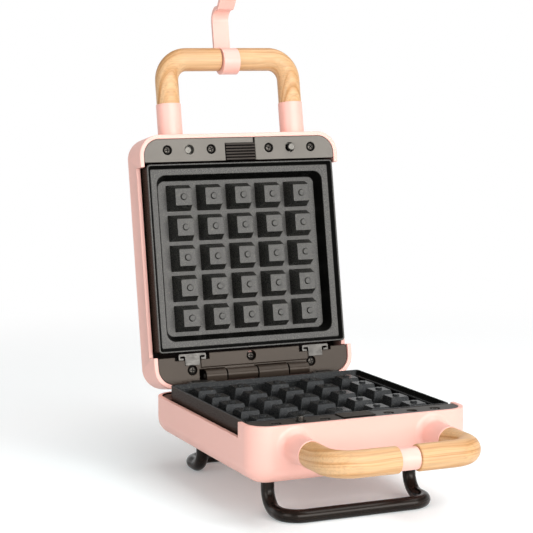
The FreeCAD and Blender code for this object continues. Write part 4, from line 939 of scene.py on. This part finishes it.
for node, width in softEdges.items():
    copied = softCopy(node, width)
    finish = softFinish.get(node, finishes[slotOf[node]])
    piece = settle(camel(node), copied, finish, node)
    # recesses, knuckle gaps and the shells' insides take painted shade
    if node in paintedShadeDepths or node.endswith("_shell"):
        markPaintedShade(copied, node)
        paintedShadeFaces(piece, shadeTwinFinish[finish], "sunk")
print("rounded pieces:", len(softEdges))


# studio lamps, in m and W
lightSet = {
    "key": {"place": (0.18, -1.36, 0.44), "aim": (0.0, 0.0, 0.14), "size": (1.50, 0.75), "power": 22.0},
    "fill": {"place": (-1.40, -0.60, 0.60), "aim": (0.0, 0.0, 0.12), "size": (0.9, 0.9), "power": 8.0},
    "top": {"place": (0.30, 0.05, 1.40), "aim": (0.0, 0.0, 0.05), "size": (1.3, 1.3), "power": 12.5},
    "high": {"place": (0.60, -0.74, 1.20), "aim": (0.0, 0.0, 0.06), "size": (0.5, 0.5), "power": 3.5},
}
for name, spec in lightSet.items():
    lamp = linkUp(name, bpy.data.lights.new(name, "AREA"))
    lamp.data.shape = "RECTANGLE"
    lamp.data.size, lamp.data.size_y = spec["size"]
    lamp.data.energy = spec["power"]
    lamp.location = spec["place"]
    towards = Vector(spec["aim"]) - Vector(spec["place"])
    lamp.rotation_euler = towards.to_track_quat("-Z", "Y").to_euler()

worldSet = {"colour": plainWhite, "strength": 0.22}
world = bpy.data.worlds.new("studio")
bpy.context.scene.world = world
world.use_nodes = True
setInputs(world.node_tree, world.node_tree.nodes["Background"], {
    "Color": worldSet["colour"], "Strength": worldSet["strength"]})


# 1 for what the camera sees, straight or in metal and glass
def seenRays(tree):
    path = addNode(tree, "ShaderNodeLightPath").outputs
    first = addNode(tree, "ShaderNodeMath", {0: path["Is Camera Ray"], 1: path["Is Glossy Ray"]},
                    operation="MAXIMUM")
    both = addNode(tree, "ShaderNodeMath", {0: first.outputs["Value"], 1: path["Is Transmission Ray"]},
                   operation="MAXIMUM")
    return both.outputs["Value"]


def fadeOf(tree, distance, near, far):
    node = addNode(tree, "ShaderNodeMapRange", {"Value": distance, "From Min": near, "From Max": far},
                   interpolation_type="SMOOTHSTEP")
    return node.outputs["Result"]


# a surface of the stage turns to plain white by this share
def whiten(tree, output, surface, share):
    white = addNode(tree, "ShaderNodeEmission", {"Strength": 1.0})
    mixed = addNode(tree, "ShaderNodeMixShader", {"Fac": share, 1: surface, 2: white.outputs[0]})
    tree.links.new(mixed.outputs[0], output.inputs["Surface"])


floorSet = {
    "half": 8.0, "colour": (0.893, 0.912, 0.914, 1.0), "glow": 0.15, "fadeNear": 0.30, "fadeFar": 0.80,
    "cooler": (0.838, 0.905, 0.912, 1.0), "coolNear": 0.09, "coolFar": 0.29,
}


def paleFloor():
    edge = floorSet["half"]
    mesh = bpy.data.meshes.new("floor")
    corners = [(-edge, -edge, 0), (edge, -edge, 0), (edge, edge, 0), (-edge, edge, 0)]
    mesh.from_pydata(corners, [], [(0, 1, 2, 3)])
    floor = linkUp("floor", mesh)
    material, tree, output = blankMaterial("paleFloor")
    away = addNode(tree, "ShaderNodeVectorMath", {0: coordsOf(tree)}, operation="LENGTH").outputs["Value"]
    seen = seenRays(tree)
    # close by, the floor is painted cooler, to cancel the pink light bounced onto it
    warm = fadeOf(tree, away, floorSet["coolNear"], floorSet["coolFar"])
    ground = mixOf(tree, warm, floorSet["cooler"], floorSet["colour"])
    matt = addNode(tree, "ShaderNodeBsdfDiffuse", {"Color": ground})
    glow = addNode(tree, "ShaderNodeEmission", {"Strength": rangeOf(tree, seen, 0.0, floorSet["glow"])})
    near = addNode(tree, "ShaderNodeAddShader", {0: matt.outputs[0], 1: glow.outputs[0]})
    fade = fadeOf(tree, away, floorSet["fadeNear"], floorSet["fadeFar"])
    share = addNode(tree, "ShaderNodeMath", {0: fade, 1: seen}, operation="MULTIPLY")
    whiten(tree, output, near.outputs[0], share.outputs["Value"])
    mesh.materials.append(material)


paleFloor()

# a low white wall all round, which the camera and shiny surfaces see as the pale background
wallSet = {"radius": 7.0, "height": 2.8, "sides": 96, "colour": (0.85, 0.85, 0.85, 1.0)}


def paleWall():
    count = wallSet["sides"]
    low, high = (ringLoop(wallSet["radius"], height, count) for height in (0.0, wallSet["height"]))
    mesh = bpy.data.meshes.new("wall")
    mesh.from_pydata(low + high, [], [
        ((n + 1) % count, n, count + n, count + (n + 1) % count) for n in range(count)])
    wall = linkUp("wall", mesh)
    material, tree, output = blankMaterial("paleWall")
    matt = addNode(tree, "ShaderNodeBsdfDiffuse", {"Color": wallSet["colour"]})
    whiten(tree, output, matt.outputs[0], seenRays(tree))
    mesh.materials.append(material)


paleWall()
bpy.context.scene.view_settings.view_transform = "Standard"
print("studio ready")
